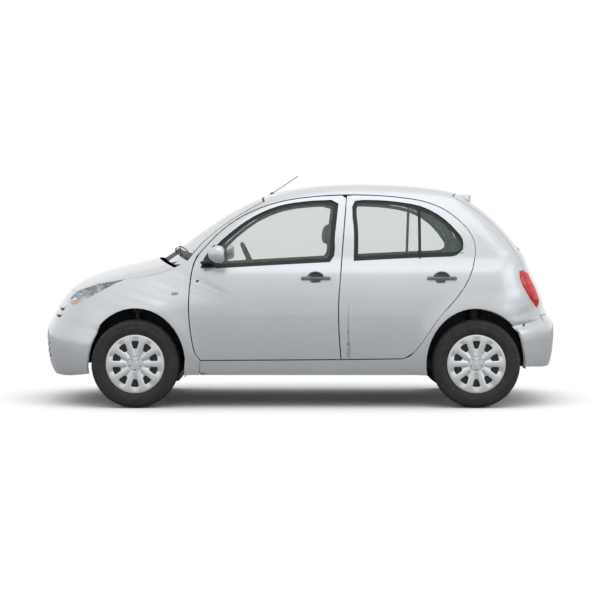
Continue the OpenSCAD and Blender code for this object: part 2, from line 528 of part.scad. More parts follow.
// The middle pillar above the waist, behind the edges of both doors
module upper_pillar() {
  foot = on_side(at_xz([292, 940]), 48);
  top = on_side(at_xz([325, 1462]), 46);
  corners = [for (p = [foot, top]) each [[-44, 0], [44, 0], [44, 30], [-44, 30]] * 1];
  points = [for (i = [0 : 7]) let (p = i < 4 ? foot : top, c = corners[i]) [p[0] + c[0], p[1] + c[1], p[2]]];
  polyhedron(points, [[0, 1, 2, 3], [7, 6, 5, 4], [4, 5, 1, 0], [5, 6, 2, 1], [6, 7, 3, 2], [7, 4, 0, 3]]);
}
module side_frames() {
  color("silver") both_sides() side_frame();
}
module roof() {
  color("silver") {
    seeds = trim(across(roof_seam, even_steps(14)), seam / 2, seam / 2, shut_gap / 2, seam / 2);
    panel(seeds, roof_depth, edge_rows = 1);
    // Rear header with the tailgate's hinge eyes
    translate([gate_hinge[0] - 140, -gate_hinge_y - 30, gate_hinge[1] - 68]) cube([156, 2 * gate_hinge_y + 60, 24]);
    translate([gate_hinge[0] - 140, -gate_hinge_y - 30, gate_hinge[1] - 46]) cube([60, 2 * gate_hinge_y + 60, 66]);
    for (y = [-1, 1]) translate([gate_hinge[0], y * gate_hinge_y, gate_hinge[1]]) rotate([-90, 0, 0]) eye_half(47);
  }
}
gate_hinge_y = 200 * width_scale;
// Foremost point of the tailgate, on the centreline
gate_front = project([roof_corner[0], 0, roof_corner[2]])[0] + shut_gap / 2;
gate_hinge = top_hinge(gate_front + gate_hinge_back, gate_hinge_y, gate_hinge_deep);
module windscreen() {
  color("lightgrey", 0.4) {
    seeds = trim(across(screen_edge, even_steps(14)), seam, seam, seam, seam);
    panel(seeds, glass_thickness, base = 3);
  }
}
// Scuttle under the windscreen, sinking below the bonnet's rear edge
module cowl_panel() {
  color("dimgray") {
    screen = across([screen_edge[9]], even_steps(14))[0];
    edge = across([bonnet_edge[0]], even_steps(14))[0];
    rows = [[0, 6], [0.45, 10], [0.84, 16], [0.85, 112]];
    outer = [for (r = rows) [for (k = [0 : 14]) project(mix(screen[k], edge[k], r[0]) + (k == 0 ? [0, 1, 0] :
      k == 14 ? [0, -1, 0] : [0, 0, 0]), r[1])]];
    inner = [for (i = [0 : 3]) let (r = rows[i]) [for (k = [0 : 14])
      project(mix(screen[k], edge[k], r[0] - (i > 1 ? 0.06 : 0)) + (k == 0 ? [0, 1, 0] : k == 14 ? [0, -1, 0] : [0, 0, 0]),
        i == 3 ? r[1] : r[1] + 6)]];
    slab(outer, inner);
  }
}
module front_wing() {
  low = concat(without_last([for (p = line([[at_x(-702), sill_z], [front_axle + arch_x, sill_z]], 3)) on_side(p)]),
    without_last(arch(front_axle, -12, arch_end, 18)), bumper_seam);
  rear = open_inset(line(stretch(door_front_low), 12), shut_gap / 2 + 2.8);
  high = concat(without_last([for (p = rear) on_side(p)]),
    [door_side_end, screen_edge[9], mix(screen_edge[9], bonnet_rear[0], 0.5)], bonnet_rear);
  grid = between(low, high, [0, 0.2, 0.4, 0.6, 0.8, 1]);
  last = len(grid) - 1;
  seeds = trim([for (i = [0 : last]) i < last ? grid[i] : lamp_heel], seam / 2, seam / 2, 0, seam);
  panel(seeds, panel_depth, edge_cols = 1, edge_rows = 1);
}
door_side_end = on_side(door_side[len(door_side) - 1]);
module front_wings() {
  color("silver") both_sides() front_wing();
}
module headlamps() {
  color("white") both_sides() {
    low = concat([for (i = [4 : -1 : 1]) lamp_heel[i]], lamp_toe);
    seeds = trim(between(low, bonnet_front, [0, 0.33, 0.67, 1]), seam, shut_gap / 2, seam, 3);
    panel(seeds, 40);
  }
}
module tail_lamps() {
  color("red") both_sides() {
    seeds = trim(between(lamp_edge, reversed(gate_lamp), [0, 0.33, 0.67, 1]), 5, shut_gap / 2, 3, 2.4);
    panel(seeds, 20);
  }
}
// A bumper runs from one wheel arch round the end of the car to the other arch
module bumper(top, low) {
  full_top = concat(without_last(top), reversed(left(top)));
  full_low = concat(without_last(low), reversed(left(low)));
  seeds = trim(between(full_top, full_low, [0, 0.14, 0.28, 0.42, 0.56, 0.7, 0.85, 1]), seam / 2, 0, 0, 0);
  panel(seeds, panel_depth);
}
front_slots = [[330, 352], [378, 400], [426, 448], [616, 646], [664, 694]];
module front_bumper() {
  color("silver") difference() {
    bumper(concat(without_last(bumper_seam), lamp_toe, front_row(6)),
      concat(without_last(line(concat([on_side([front_axle - arch_x * cos(12), at_z(232)])],
        all_on_side([[-1560, 222]])), 4)), line(concat(all_on_side([[-1560, 222]]),
        all_on_front([[-640, 216], [-430, 214], [-220, 213], [0, 213]])), 11)));
    for (i = [0 : len(front_slots) - 1]) let (half = i < 3 ? 430 : 500, z = front_slots[i])
      translate([-body_length / 2 - 10, -half, at_z(z[0])]) cube([260, 2 * half, z[1] - z[0]]);
    translate([0, tow_eye[0], tow_eye[1]]) rotate([0, -90, 0]) cylinder(r = 22, h = body_length);
  }
}
tow_eye = [300, 505];
module grille() {
  color("dimgray") {
    for (heights = [[712, 690, 665, 640, 600], [456, 420, 380, 340, 310]]) {
      seeds = [for (z = heights) [for (i = [-6 : 6]) on_front([i * 84 * width_scale, at_z(z)], panel_depth + 3.5)]];
      slab(seeds, [for (r = seeds) [for (p = r) p + [10, 0, 0]]]);
    }
  }
}
module rear_bumper() {
  color("silver") {
    bumper(concat(without_last(tail_seam), without_last(line([tail_seam[4], lamp_gate_foot], 2)),
        without_last(gate_foot), rear_row(6)),
      concat(without_last(line(concat([on_side([rear_axle + arch_x * cos(4), at_z(283)])],
        all_on_side([[1640, 280]])), 3)), line(concat(all_on_side([[1640, 280]]),
        all_on_rear([[-640, 276], [-430, 274], [-220, 273], [0, 273]])), 11)));
  }
}

// ---- Bonnet and tailgate ----
bonnet_hinge_y = 590 * width_scale;
bonnet_hinge = top_hinge(at_x(-930) - shut_gap / 2 - hinge_back - 4, bonnet_hinge_y);
bonnet_hinge_height = 30;
module bonnet() {
  color("silver") {
    seeds = trim(across(bonnet_edge, even_steps(16)), shut_gap / 2, shut_gap / 2, shut_gap / 2, shut_gap / 2);
    panel(seeds, panel_depth, edge_rows = 2, edge_cols = 1);
    reach = [for (y = [-10, 10]) let (q = bonnet_hinge_y + y, seat = top_hinge(bonnet_hinge[0], q))
      (seat[1] - bonnet_hinge[1]) / cos(seat[2]) + hinge_deep - flange + 2.5];
    both_sides() translate([bonnet_hinge[0], -bonnet_hinge_y, bonnet_hinge[1]]) rotate([0, -bonnet_hinge[2], 0])
      rotate([0, 0, 180]) rotate([-90, 0, 0]) pin_half(bonnet_hinge_height, reach);
  }
}
rear_glass = [[-455, 1446], [-492, 1400], [-520, 1300], [-540, 1200], [-545, 1130], [-520, 1092]];
rear_glass_rows = line([for (p = rear_glass) [p[0] * width_scale, at_z(p[1])]], 8);
module tailgate() {
  color("silver") {
    seeds = trim(across(gate_edge, even_steps(14)), shut_gap / 2, shut_gap / 2, shut_gap / 2, shut_gap / 2);
    difference() {
      panel(seeds, 26, edge_rows = 2, edge_cols = 1);
      translate([at_x(1000), 0, 0]) rotate([90, 0, 90]) linear_extrude(800)
        polygon(concat(rear_glass_rows, reversed([for (p = rear_glass_rows) [-p[0], p[1]]])));
    }
    spoiler();
    for (y = [-1, 1]) translate([gate_hinge[0], y * gate_hinge_y, gate_hinge[1]]) rotate([0, -gate_hinge[2], 0])
      rotate([-90, 0, 0]) pin_half(out = [gate_hinge_deep - flange + 1.5, gate_hinge_deep - flange + 1.5]);
  }
}
module spoiler() {
  ys = [for (i = [0 : 12]) (i / 6 - 1) * 470 * width_scale];
  xs = [gate_front + 6, at_x(1170), at_x(1200), at_x(1219)];
  top = [for (y = ys) [for (i = [0 : 3]) let (t = i / 3, root = on_top([xs[0], y])[2])
    [xs[i], y, mix(root + 1, at_z(1508) - 26 * pow(y / 505, 2), t)]]];
  low = [for (y = ys) [for (i = [0 : 3]) let (p = on_top([xs[i] - (i == 3 ? 4 : 0), y])) [p[0], y, p[2] - 4]]];
  slab(top, low);
}
module rear_window() {
  color("lightgrey", 0.4) {
    pane = [for (p = rear_glass_rows) [for (t = even_steps(10)) [(p[0] + 0.5) * (1 - 2 * t), p[1]]]];
    rows = len(pane) - 1;
    grid = [for (i = [0 : rows]) [for (p = pane[i]) [p[0], p[1] + (i == 0 ? -0.5 : i == rows ? 0.5 : 0)]]];
    slab([for (r = grid) [for (p = r) on_rear(p, 6)]], [for (r = grid) [for (p = r) on_rear(p, 6 + glass_thickness)]]);
  }
}

// ---- Door mirrors ----
module mirror_housing(mirrored) {
  color("silver") right_side(mirrored) {
    translate([at_x(-580), -866 * width_scale, at_z(1070)]) hull() {
      for (y = [-44, 42]) for (z = [-40, 40]) translate([14, y, z]) sphere(r = 24, $fn = 16);
      for (y = [-26, 30]) for (z = [-26, 22]) translate([-30, y, z]) sphere(r = 26, $fn = 16);
    }
    hull() for (x = [-664, -614]) {
      foot = [for (z = [996, 1030]) let (p = on_side(at_xz([x, z]))) [p[1] - 0.9, p[2]]];
      translate([at_x(x), 0, 0]) rotate([90, 0, 90]) linear_extrude(0.5)
        polygon(concat(foot, [[-840 * width_scale, at_z(1050)], [-840 * width_scale, at_z(1020)]]));
    }
  }
}

// ---- Running gear ----
wheel_y = track / 2;
kingpin_in = 60;
kingpin_y = wheel_y - kingpin_in;
axle_radius = 15;
// A wheel and everything that turns with it. The axis is Z with the outer face towards +Z.
module wheel_shape() {
  rotate_extrude() polygon([[rim_radius - 12, -68], [rim_radius - 12, 68], [rim_radius + 6, 69], [rim_radius + 6, 72],
    [rim_radius - 16, 72], [rim_radius - 16, -72], [rim_radius + 6, -72], [rim_radius + 6, -69], [rim_radius, -68],
    [rim_radius, 68], [rim_radius - 12, 68], [rim_radius - 12, -68]]);
}
module barrel() {
  rotate_extrude() polygon([[rim_radius - 14, -72], [rim_radius + 6, -72], [rim_radius + 6, -69], [rim_radius, -66],
    [rim_radius, 66], [rim_radius + 6, 69], [rim_radius + 6, 72], [rim_radius - 14, 72]]);
}
module spoked_cover() {
  hole_in = 0.55 * rim_radius;
  hole_out = 0.82 * rim_radius;
  difference() {
    rotate_extrude() polygon([[0, 76], [40, 78], [60, 74], [hole_in - 6, 76], [hole_out + 4, 78], [rim_radius - 4, 80],
      [rim_radius + 8, 74], [rim_radius + 8, 72.2], [rim_radius - 10, 72.2], [hole_out, 68], [60, 64], [0, 64]]);
    for (i = [0 : spoke_count - 1]) rotate([0, 0, 90 + 360 / spoke_count * i]) translate([0, 0, 50]) linear_extrude(50)
      polygon([for (c = [[hole_in, -0.26], [hole_in, 0.26], [hole_out, 0.34], [hole_out, -0.34]])
        let (a = 360 / spoke_count * c[1]) c[0] * [cos(a), sin(a)]]);
  }
}
module wheel(front) {
  difference() {
    union() {
      barrel();
      spoked_cover();
      translate([0, 0, 36]) cylinder(r = rim_radius - 13, h = 6);
      translate([0, 0, 40]) cylinder(r = 34, h = 26);
      translate([0, 0, front ? -28 : -28]) cylinder(r = 58, h = 66);
      if (front) translate([0, 0, -22]) cylinder(r = 122, h = 20);
      if (!front) translate([0, 0, -28]) cylinder(r = 100, h = 50);
    }
    translate([0, 0, -29]) cylinder(r = axle_radius, h = 60);
  }
}
module tyre() {
  bead = rim_radius + 0.3;
  half = tyre_width / 2;
  color("dimgray") rotate_extrude() polygon([[bead, -half + 23], [bead, half - 23], [bead + 5, half - 19.6],
    [bead + 12, half - 14], [bead + 28, half - 5], [bead + 52, half], [bead + 74, half - 2],
    [tyre_radius - 15, half - 8], [tyre_radius - 5, half - 16], [tyre_radius, half - 28],
    [tyre_radius, -half + 28], [tyre_radius - 5, -half + 16], [tyre_radius - 15, -half + 8], [bead + 74, -half + 2],
    [bead + 52, -half], [bead + 28, -half + 5], [bead + 12, -half + 14], [bead + 5, -half + 19.6]]);
}
module at_wheel(x, mirrored) {
  right_side(mirrored) translate([x, -wheel_y, tyre_radius]) rotate([90, 0, 0]) children();
}
module tyre_at(x, mirrored) {
  at_wheel(x, mirrored) tyre();
}
module wheel_at(x, mirrored) {
  color("lightgrey") at_wheel(x, mirrored) wheel(x < 0);
}
pin_low = 166;
pin_high = 2 * tyre_radius - pin_low;
kingpin_radius = 12;
module knuckle(mirrored) {
  color("gray") right_side(mirrored) translate([front_axle, -kingpin_y, 0]) {
    translate([0, 0, pin_low]) cylinder(r = kingpin_radius, h = pin_high - pin_low);
    translate([-36, -20, pin_low + 38]) cube([72, 40, pin_high - pin_low - 76]);
    translate([0, -18, tyre_radius]) rotate([90, 0, 0]) cylinder(r = axle_radius - pin_clearance, h = kingpin_in + 10);
  }
}
module front_suspension() {
  color("gray") {
    both_sides() translate([front_axle, -kingpin_y, 0]) {
      for (z = [pin_low, pin_high - 30]) difference() {
        union() {
          translate([0, 0, z]) cylinder(r = 22, h = 30);
          translate([-18, 0, z]) cube([36, 110, 30]);
        }
        translate([0, 0, z - 1]) cylinder(r = kingpin_radius + pin_clearance, h = 32);
      }
      // Strut tube with its spring seat and top mount
      translate([0, 80, pin_high - 30]) cylinder(r = 25, h = 300);
      translate([0, 80, 660]) cylinder(r = 62, h = 8);
      translate([0, 80, 668]) cylinder(r = 56, h = 130);
      translate([0, 80, 798]) cylinder(r = 62, h = 12);
      translate([-20, 80, pin_high - 30]) cube([40, 60, 30]);
      // Lower arm
      translate([-18, 200, pin_low]) cube([300, 40, 30]);
      translate([-30, 108, pin_low]) cube([60, kingpin_y - 250, 30]);
    }
    // Subframe with its risers and the engine's rests
    both_sides() {
      translate([front_axle + 60, -420, pin_low + 38]) cube([60, 30, 419.7 - pin_low - 38]);
      translate([front_axle - 56, -160, pin_low + 38]) cube([50, 60, 249.7 - pin_low - 38]);
    }
    translate([front_axle - 60, -440, pin_low - 6]) cube([340, 880, 46]);
  }
}
module rear_axle_beam() {
  color("gray") {
    both_sides() translate([rear_axle, -wheel_y, 0]) {
      translate([0, 29, tyre_radius]) rotate([90, 0, 0]) cylinder(r = axle_radius - pin_clearance, h = 58);
      translate([-60, 29, tyre_radius - 60]) cube([120, 20, 120]);
      translate([-40, 40, tyre_radius - 40]) cube([80, 70, 80]);
      // Trailing arm with its bush, and the spring and damper
      translate([-426, 98, tyre_radius - 40]) cube([470, 50, 60]);
      translate([-426, 140, tyre_radius - 40]) cube([54, 90, 88.4]);
      translate([0, 138, tyre_radius - 20]) cylinder(r = 45, h = 705.7 - tyre_radius + 20);
    }
    translate([rear_axle - 426, -(wheel_y - 100), tyre_radius - 40]) cube([72, 2 * (wheel_y - 100), 60]);
  }
}

// ---- Body shell under the panels ----
floor_z = 236;
bay_y = 455;
module floor_pan() {
  color("dimgray") {
    inner = half_width(0, at_z(300)) - 110.3;
    // Cabin floor with its tunnel, the toe board, the rear seat's step and the boot floor
    translate([-700, -inner, floor_z]) cube([1300, 2 * inner, 14]);
    translate([-700, -110, floor_z + 10]) cube([1300, 220, 110]);
    translate([-772, -inner, floor_z]) cube([35.5, 2 * inner, at_z(860) - floor_z]);
    translate([-740, -inner, floor_z]) cube([44, 2 * inner, 14]);
    translate([590, -inner, floor_z]) cube([14, 2 * inner, 130]);
    translate([590, -(wheel_y - 200), floor_z + 120]) cube([at_x(1740) - 590, 2 * wheel_y - 400, 14]);
    // Rear wheelhouses
    both_sides() translate([rear_axle - 345, -(wheel_y - 200) - 14, floor_z + 40]) cube([700, 14, 460]);
    both_sides() translate([rear_axle - 300, -728, 706]) cube([580, 728 - wheel_y + 200, 14]);
    // Front bay: side members, strut towers and the front cross member
    both_sides() {
      translate([front_axle - 400, -bay_y, 420]) cube([784, 14, 405]);
      translate([front_axle - 90, -686, 810.3]) cube([180, 686 - bay_y, 14]);
      translate([at_x(-1700), -bay_y, 420]) cube([170, 60, 110]);
    }
    translate([at_x(-1764), -400, 470]) cube([74, 800, 78]);
    // Socket for the towing eye
    difference() {
      translate([at_x(-1804), tow_eye[0], tow_eye[1]]) rotate([0, 90, 0]) cylinder(r = 16, h = 50);
      translate([at_x(-1805), tow_eye[0], tow_eye[1]]) rotate([0, 90, 0]) cylinder(r = 8, h = 41);
    }
    // Bonnet hinge posts on the scuttle
    for (y = [-1, 1]) translate([bonnet_hinge[0], y * bonnet_hinge_y, bonnet_hinge[1]]) {
      rotate([0, 0, 180]) rotate([-90, 0, 0]) eye_half(70, 8);
      translate([-12, -16, -150]) cube([24, 32, 86]);
    }
    translate([bonnet_hinge[0] - 20, -620, bonnet_hinge[1] - 170]) cube([212, 1240, 40]);
  }
}
module engine() {
  color("gray") translate([front_axle - 330, -260, 250]) cube([330, 640, 520]);
}
module exhaust() {
  color("gray") {
    translate([-600, 0, floor_z - 24.3]) rotate([0, 90, 0]) cylinder(r = 24, h = 1900);
    translate([1300, 0, 230]) rotate([90, 0, 0]) translate([0, 0, -300]) cylinder(r = 75, h = 600);
    translate([1330, 300, 230]) rotate([0, 90, 0]) cylinder(r = 22, h = 440);
  }
}
module fuel_tank() {
  color("dimgray") translate([620, -420, 242]) cube([165, 840, 113.7]);
}

// ---- Cabin ----
wheel_hub = [-345, -360, 985];
rake = 25;
module dashboard() {
  color("dimgray") difference() {
    rotate([90, 0, 0]) translate([0, 0, -664]) linear_extrude(1328)
      polygon([[-736, 700], [-560, 640], [-470, 760], [-455, 880], [-520, 950], [-640, 985], [-736, 952]]);
    translate(wheel_hub) rotate([0, -90 - rake, 0]) cylinder(r = axle_radius + pin_clearance, h = 400);
  }
}
module steering_wheel() {
  color("dimgray") translate(wheel_hub) rotate([0, -90 - rake, 0]) {
    rotate_extrude() translate([steering_wheel_diameter / 2 - 15, 0]) circle(r = 15);
    translate([0, 0, -10]) cylinder(r = 62, h = 40);
    for (a = [90, 270, 0]) rotate([0, 0, a]) translate([40, -18, -6]) cube([steering_wheel_diameter / 2 - 58, 36, 14]);
    cylinder(r = axle_radius, h = 270);
  }
}
module seat_profile(width, points) {
  rotate([90, 0, 0]) translate([0, 0, -width / 2]) linear_extrude(width) polygon(points);
}
module front_seats() {
  color("gray") both_sides() translate([0, -360, 0]) {
    seat_profile(seat_width, [[-330, 330], [170, 330], [170, 430], [60, 470], [-320, 500], [-345, 430]]);
    seat_profile(seat_width - 20, [[70, 440], [190, 420], [275, 1050], [240, 1085], [165, 1070]]);
    seat_profile(250, [[160, 1130], [262, 1130], [255, 1290], [195, 1300], [165, 1270]]);
    for (y = [-60, 60]) translate([212, y, 1060]) cylinder(r = 7, h = 80);
    for (y = [-180, 180]) translate([-300, y - 20, floor_z + 14.3]) cube([440, 40, 330 - floor_z - 14]);
  }
}
module rear_seat() {
  color("gray") {
    seat_profile(1052, [[620, 370.3], [1060, 370.3], [1010, 520], [640, 560], [600, 480]]);
    seat_profile(1052, [[960, 530], [1075, 480], [1190, 1000], [1150, 1035], [1085, 1015]]);
    both_sides() translate([0, -330, 0]) {
      seat_profile(230, [[1090, 1060], [1180, 1060], [1186, 1200], [1125, 1205], [1100, 1180]]);
      for (y = [-50, 50]) translate([1138, y, 1020]) cylinder(r = 6, h = 50);
    }
  }
}

// ---- Trim ----
module wiper(y0, y1) {
  path = [for (i = [0 : 8]) let (t = i / 8) project([-800, mix(y0, y1, t), mix(1052, 1062, t)])];
  seeds = [for (p = path) [for (k = [0, 1, 2]) project(p + [k * 6, 0, k * 8])]];
  slab([for (r = seeds) [for (p = r) project(p, -12)]], [for (r = seeds) [for (p = r) project(p, 1.6)]]);
}
module wipers() {
  color("dimgray") {
    wiper(-560, -20);
    wiper(20, 460);
  }
}
module aerial() {
  color("dimgray") {
    seat = top_hinge(at_x(-205), 0);
    translate([seat[0], 0, seat[1]]) rotate([0, -seat[2], 0]) {
      translate([0, 0, hinge_deep + 0.3]) cylinder(r1 = 22, r2 = 11, h = 16);
      translate([0, 0, hinge_deep + 8]) rotate([0, 57 + seat[2], 0]) cylinder(r = 3, h = 232);
    }
  }
}

// ---- Assembly ----
floor_pan();
side_frames();
roof();
cowl_panel();
bonnet();
front_wings();
front_bumper();
grille();
rear_bumper();
headlamps();
tail_lamps();
windscreen();
front_door(false);  // front_door_left
front_door(true);  // front_door_right
rear_door(false);  // rear_door_left
rear_door(true);  // rear_door_right
front_door_glass(false);  // front_door_glass_left
front_door_glass(true);  // front_door_glass_right
rear_door_glass(false);  // rear_door_glass_left
rear_door_glass(true);  // rear_door_glass_right
mirror_housing(false);  // mirror_left
mirror_housing(true);  // mirror_right
tailgate();
rear_window();
tyre_at(front_axle, false);  // tyre_front_left
tyre_at(front_axle, true);  // tyre_front_right
tyre_at(rear_axle, false);  // tyre_rear_left
tyre_at(rear_axle, true);  // tyre_rear_right
wheel_at(front_axle, false);  // wheel_front_left
wheel_at(front_axle, true);  // wheel_front_right
wheel_at(rear_axle, false);  // wheel_rear_left
wheel_at(rear_axle, true);  // wheel_rear_right
knuckle(false);  // knuckle_left
knuckle(true);  // knuckle_right
front_suspension();
rear_axle_beam();  // rear_axle
engine();
exhaust();
fuel_tank();
dashboard();
steering_wheel();
front_seats();
rear_seat();
wipers();
aerial();
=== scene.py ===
"""Looks of the five-door hatchback: panels, glass, lamps, wheels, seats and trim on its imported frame."""

import math

import bmesh
import bpy
import numpy as np
from mathutils import Matrix, Vector


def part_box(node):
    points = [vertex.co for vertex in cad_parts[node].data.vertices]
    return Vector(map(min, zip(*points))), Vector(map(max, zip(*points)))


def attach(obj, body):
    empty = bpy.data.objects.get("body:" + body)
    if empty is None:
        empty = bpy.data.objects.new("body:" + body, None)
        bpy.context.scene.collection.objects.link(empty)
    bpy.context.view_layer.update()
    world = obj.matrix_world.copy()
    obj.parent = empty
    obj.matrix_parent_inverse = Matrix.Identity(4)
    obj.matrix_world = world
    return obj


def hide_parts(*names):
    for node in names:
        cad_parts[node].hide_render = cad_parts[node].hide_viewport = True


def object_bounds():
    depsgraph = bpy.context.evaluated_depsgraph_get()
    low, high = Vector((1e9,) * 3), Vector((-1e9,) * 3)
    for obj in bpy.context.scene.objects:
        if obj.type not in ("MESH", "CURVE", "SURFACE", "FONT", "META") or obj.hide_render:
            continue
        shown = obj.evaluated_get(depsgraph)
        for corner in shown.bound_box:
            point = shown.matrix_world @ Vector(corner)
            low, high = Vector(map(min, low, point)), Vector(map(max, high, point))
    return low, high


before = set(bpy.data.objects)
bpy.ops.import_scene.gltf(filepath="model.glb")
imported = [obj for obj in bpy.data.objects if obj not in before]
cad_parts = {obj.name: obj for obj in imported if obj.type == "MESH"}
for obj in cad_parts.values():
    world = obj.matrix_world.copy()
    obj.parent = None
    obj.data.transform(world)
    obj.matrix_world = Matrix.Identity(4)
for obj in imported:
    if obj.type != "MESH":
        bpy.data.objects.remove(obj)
cad_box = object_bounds()

bl_info = {
    "name": "Hatchback car looks",
    "version": (1, 0, 0),
    "blender": (4, 5, 0),
    "location": "3D View > Sidebar > Hatchback",
    "description": "Builds the panels, glass, lamps, wheels, seats and trim of a five-door hatchback",
    "category": "Object",
}

MM = 0.001
FRONT_AXLE, REAR_AXLE = -1146.0, 1226.0
WHEEL_Y, TYRE_RADIUS, RIM_RADIUS, TYRE_WIDTH = 730.0, 307.0, 196.0, 175.0
WHEELS = {"front_left": (FRONT_AXLE, -1), "front_right": (FRONT_AXLE, 1),
          "rear_left": (REAR_AXLE, -1), "rear_right": (REAR_AXLE, 1)}
SIDES = {"left": -1, "right": 1}


# ---- The outer skin of the body, the same surface as the construction's, in millimetres ----

PROFILE = [(-1600, -100), (-1700, 50), (-1760, 150), (-1796, 215), (-1822, 262), (-1840, 318), (-1851, 390),
           (-1855, 465), (-1848, 530), (-1826, 582), (-1796, 635), (-1762, 700), (-1712, 776), (-1648, 838),
           (-1560, 890), (-1440, 938), (-1310, 976), (-1190, 1004), (-1080, 1030), (-985, 1058), (-897, 1106),
           (-712, 1239), (-578, 1328), (-430, 1412), (-290, 1478), (-130, 1527), (60, 1561), (260, 1577),
           (460, 1580), (700, 1573), (900, 1556), (1060, 1532), (1165, 1500), (1255, 1446), (1330, 1395),
           (1395, 1342), (1490, 1250), (1575, 1147), (1630, 1078), (1662, 1000), (1695, 925), (1732, 852),
           (1756, 780), (1774, 700), (1800, 640), (1842, 585), (1855, 520), (1852, 450), (1843, 370),
           (1830, 312), (1812, 266), (1785, 206), (1740, 100), (1650, -100)]
SIDE = [(120, 752), (190, 778), (250, 797), (330, 812), (450, 824), (580, 830), (700, 829), (800, 823),
        (880, 811), (940, 795), (990, 772), (1040, 750), (1110, 728), (1200, 699), (1300, 661), (1400, 617),
        (1500, 566), (1600, 510), (1700, 455)]
PLAN = [(-1900, 0.945), (-1500, 0.966), (-1146, 0.981), (-700, 0.993), (-200, 0.999), (250, 1), (700, 0.997),
        (1226, 0.985), (1550, 0.968), (1900, 0.945)]
BOW = [(-1900, 165), (-1500, 150), (-1000, 118), (-600, 90), (-200, 48), (300, 0), (900, -30), (1250, -60),
       (1650, -90), (1900, -125)]
CROWN = [(-1900, 22), (-1500, 44), (-1000, 52), (-600, 40), (0, 34), (800, 30), (1100, 26), (1400, 30),
         (1900, 16)]
CORNER = [(150, 400), (600, 400), (850, 300), (1000, 215), (1150, 150), (1350, 130), (1700, 130)]
CENTRE = np.array((0.0, 600.0))
ARCH_X, ARCH_Z = TYRE_RADIUS + 42, TYRE_RADIUS + 82


def curve_through(points, per):
    """A smooth line through the points, with a number of steps to each span."""
    p = np.array(points, float)
    d = np.maximum(np.linalg.norm(np.diff(p, axis=0), axis=1), 1e-3)[:, None]
    step = np.diff(p, axis=0) / d
    way = np.vstack((step[:1], (step[:-1] * d[1:] + step[1:] * d[:-1]) / (d[:-1] + d[1:]), step[-1:]))
    t = (np.arange(per) / per)[:, None]
    spans = [(2 * t**3 - 3 * t**2 + 1) * p[i] + (t**3 - 2 * t**2 + t) * d[i] * way[i]
             + (3 * t**2 - 2 * t**3) * p[i + 1] + (t**3 - t**2) * d[i] * way[i + 1] for i in range(len(p) - 1)]
    return np.vstack(spans + [p[-1:]])


class Skin:
    """The body's surface: gap() is the distance outside it, negative inside."""

    def __init__(self, per, smooth):
        profile = curve_through(PROFILE, per)
        out = profile - CENTRE
        turn, reach = self.turn(out[:, 0], out[:, 1]), np.hypot(*out.T)
        way = np.vstack((profile[1] - profile[0], profile[2:] - profile[:-2], profile[-1] - profile[-2]))
        slant = np.abs(out[:, 0] * way[:, 1] - out[:, 1] * way[:, 0]) / reach / np.hypot(*way.T)
        order = np.argsort(turn)
        self.reach, self.slant = (turn[order], reach[order]), (turn[order], slant[order])
        self.side, self.plan = curve_through(SIDE, per).T, curve_through(PLAN, per).T
        self.bow, self.crown, self.corner = (
            curve_through(t, per).T if smooth else np.array(t, float).T for t in (BOW, CROWN, CORNER))

    @staticmethod
    def turn(x, z):
        a = np.degrees(np.arctan2(z, -x))
        return np.where(a < -90, a + 360, a)

    def half_width(self, x, z):
        width = np.interp(z, *self.side) * np.interp(x, *self.plan)
        for axle in (FRONT_AXLE, REAR_AXLE):
            out = (np.hypot((x - axle) / ARCH_X, (z - TYRE_RADIUS) / ARCH_Z) - 1) * ARCH_X / 75
            width = width + np.where(out > 3, 0, 11 * np.exp(-out * out))
        return width

    def gap(self, p):
        x, y, z = p[..., 0], np.abs(p[..., 1]), p[..., 2]
        a = y - self.half_width(x, z)
        px = x - np.interp(x, *self.bow) * (y / 700) ** 2 - CENTRE[0]
        pz = z + np.interp(x, *self.crown) * (y / 600) ** 2 - CENTRE[1]
        turn = self.turn(px, pz)
        b = (np.hypot(px, pz) - np.interp(turn, *self.reach)) * np.interp(turn, *self.slant)
        r = np.interp(z, *self.corner)
        u, v = np.maximum(a + r, 0) / r, np.maximum(b + r, 0) / r
        return np.where((u == 0) & (v == 0), np.maximum(a, b), r * ((u**2.4 + v**2.4) ** (1 / 2.4) - 1))

    def slope(self, p, step=1.0):
        """How fast the gap grows along each axis."""
        ways = np.eye(3) * step
        return np.stack([(self.gap(p + w) - self.gap(p - w)) / (2 * step) for w in ways], axis=-1)

    def settle(self, p, depth, rounds=5):
        """The points moved straight onto the surface at a depth under the skin."""
        for _ in range(rounds):
            g = self.slope(p)
            p = p - ((self.gap(p) + depth) / np.maximum((g * g).sum(-1), 1e-6))[..., None] * g
        return p

    def where(self, point, low, high, depth=0.0):
        """The last of the points from low to high that lies inside the surface at a depth, in metres."""
        for _ in range(40):
            mid = (low + high) / 2
            if self.gap(np.array(point(mid))) + depth > 0:
                high = mid
            else:
                low = mid
        return Vector(point(low)) * MM

    def on_side(self, x, z, depth=0.0, side=-1):
        """The point of the left or right flank at x and z."""
        return self.where(lambda y: (x, side * y, z), 0.0, 1200.0, depth)

    def ahead(self, y, z, depth, low, high):
        """The point at y and z that faces forward, low to high millimetres in front of the car's middle."""
        return self.where(lambda x: (-x, y, z), low, high, depth)


drawn = Skin(5, False)
fair = Skin(24, True)


# ---- Materials ----

def linear(code, alpha=1.0):
    """An sRGB hex colour as linear light."""
    parts = [int(code[i:i + 2], 16) / 255 for i in (1, 3, 5)]
    return tuple(c / 12.92 if c <= 0.04045 else ((c + 0.055) / 1.055) ** 2.4 for c in parts) + (alpha,)


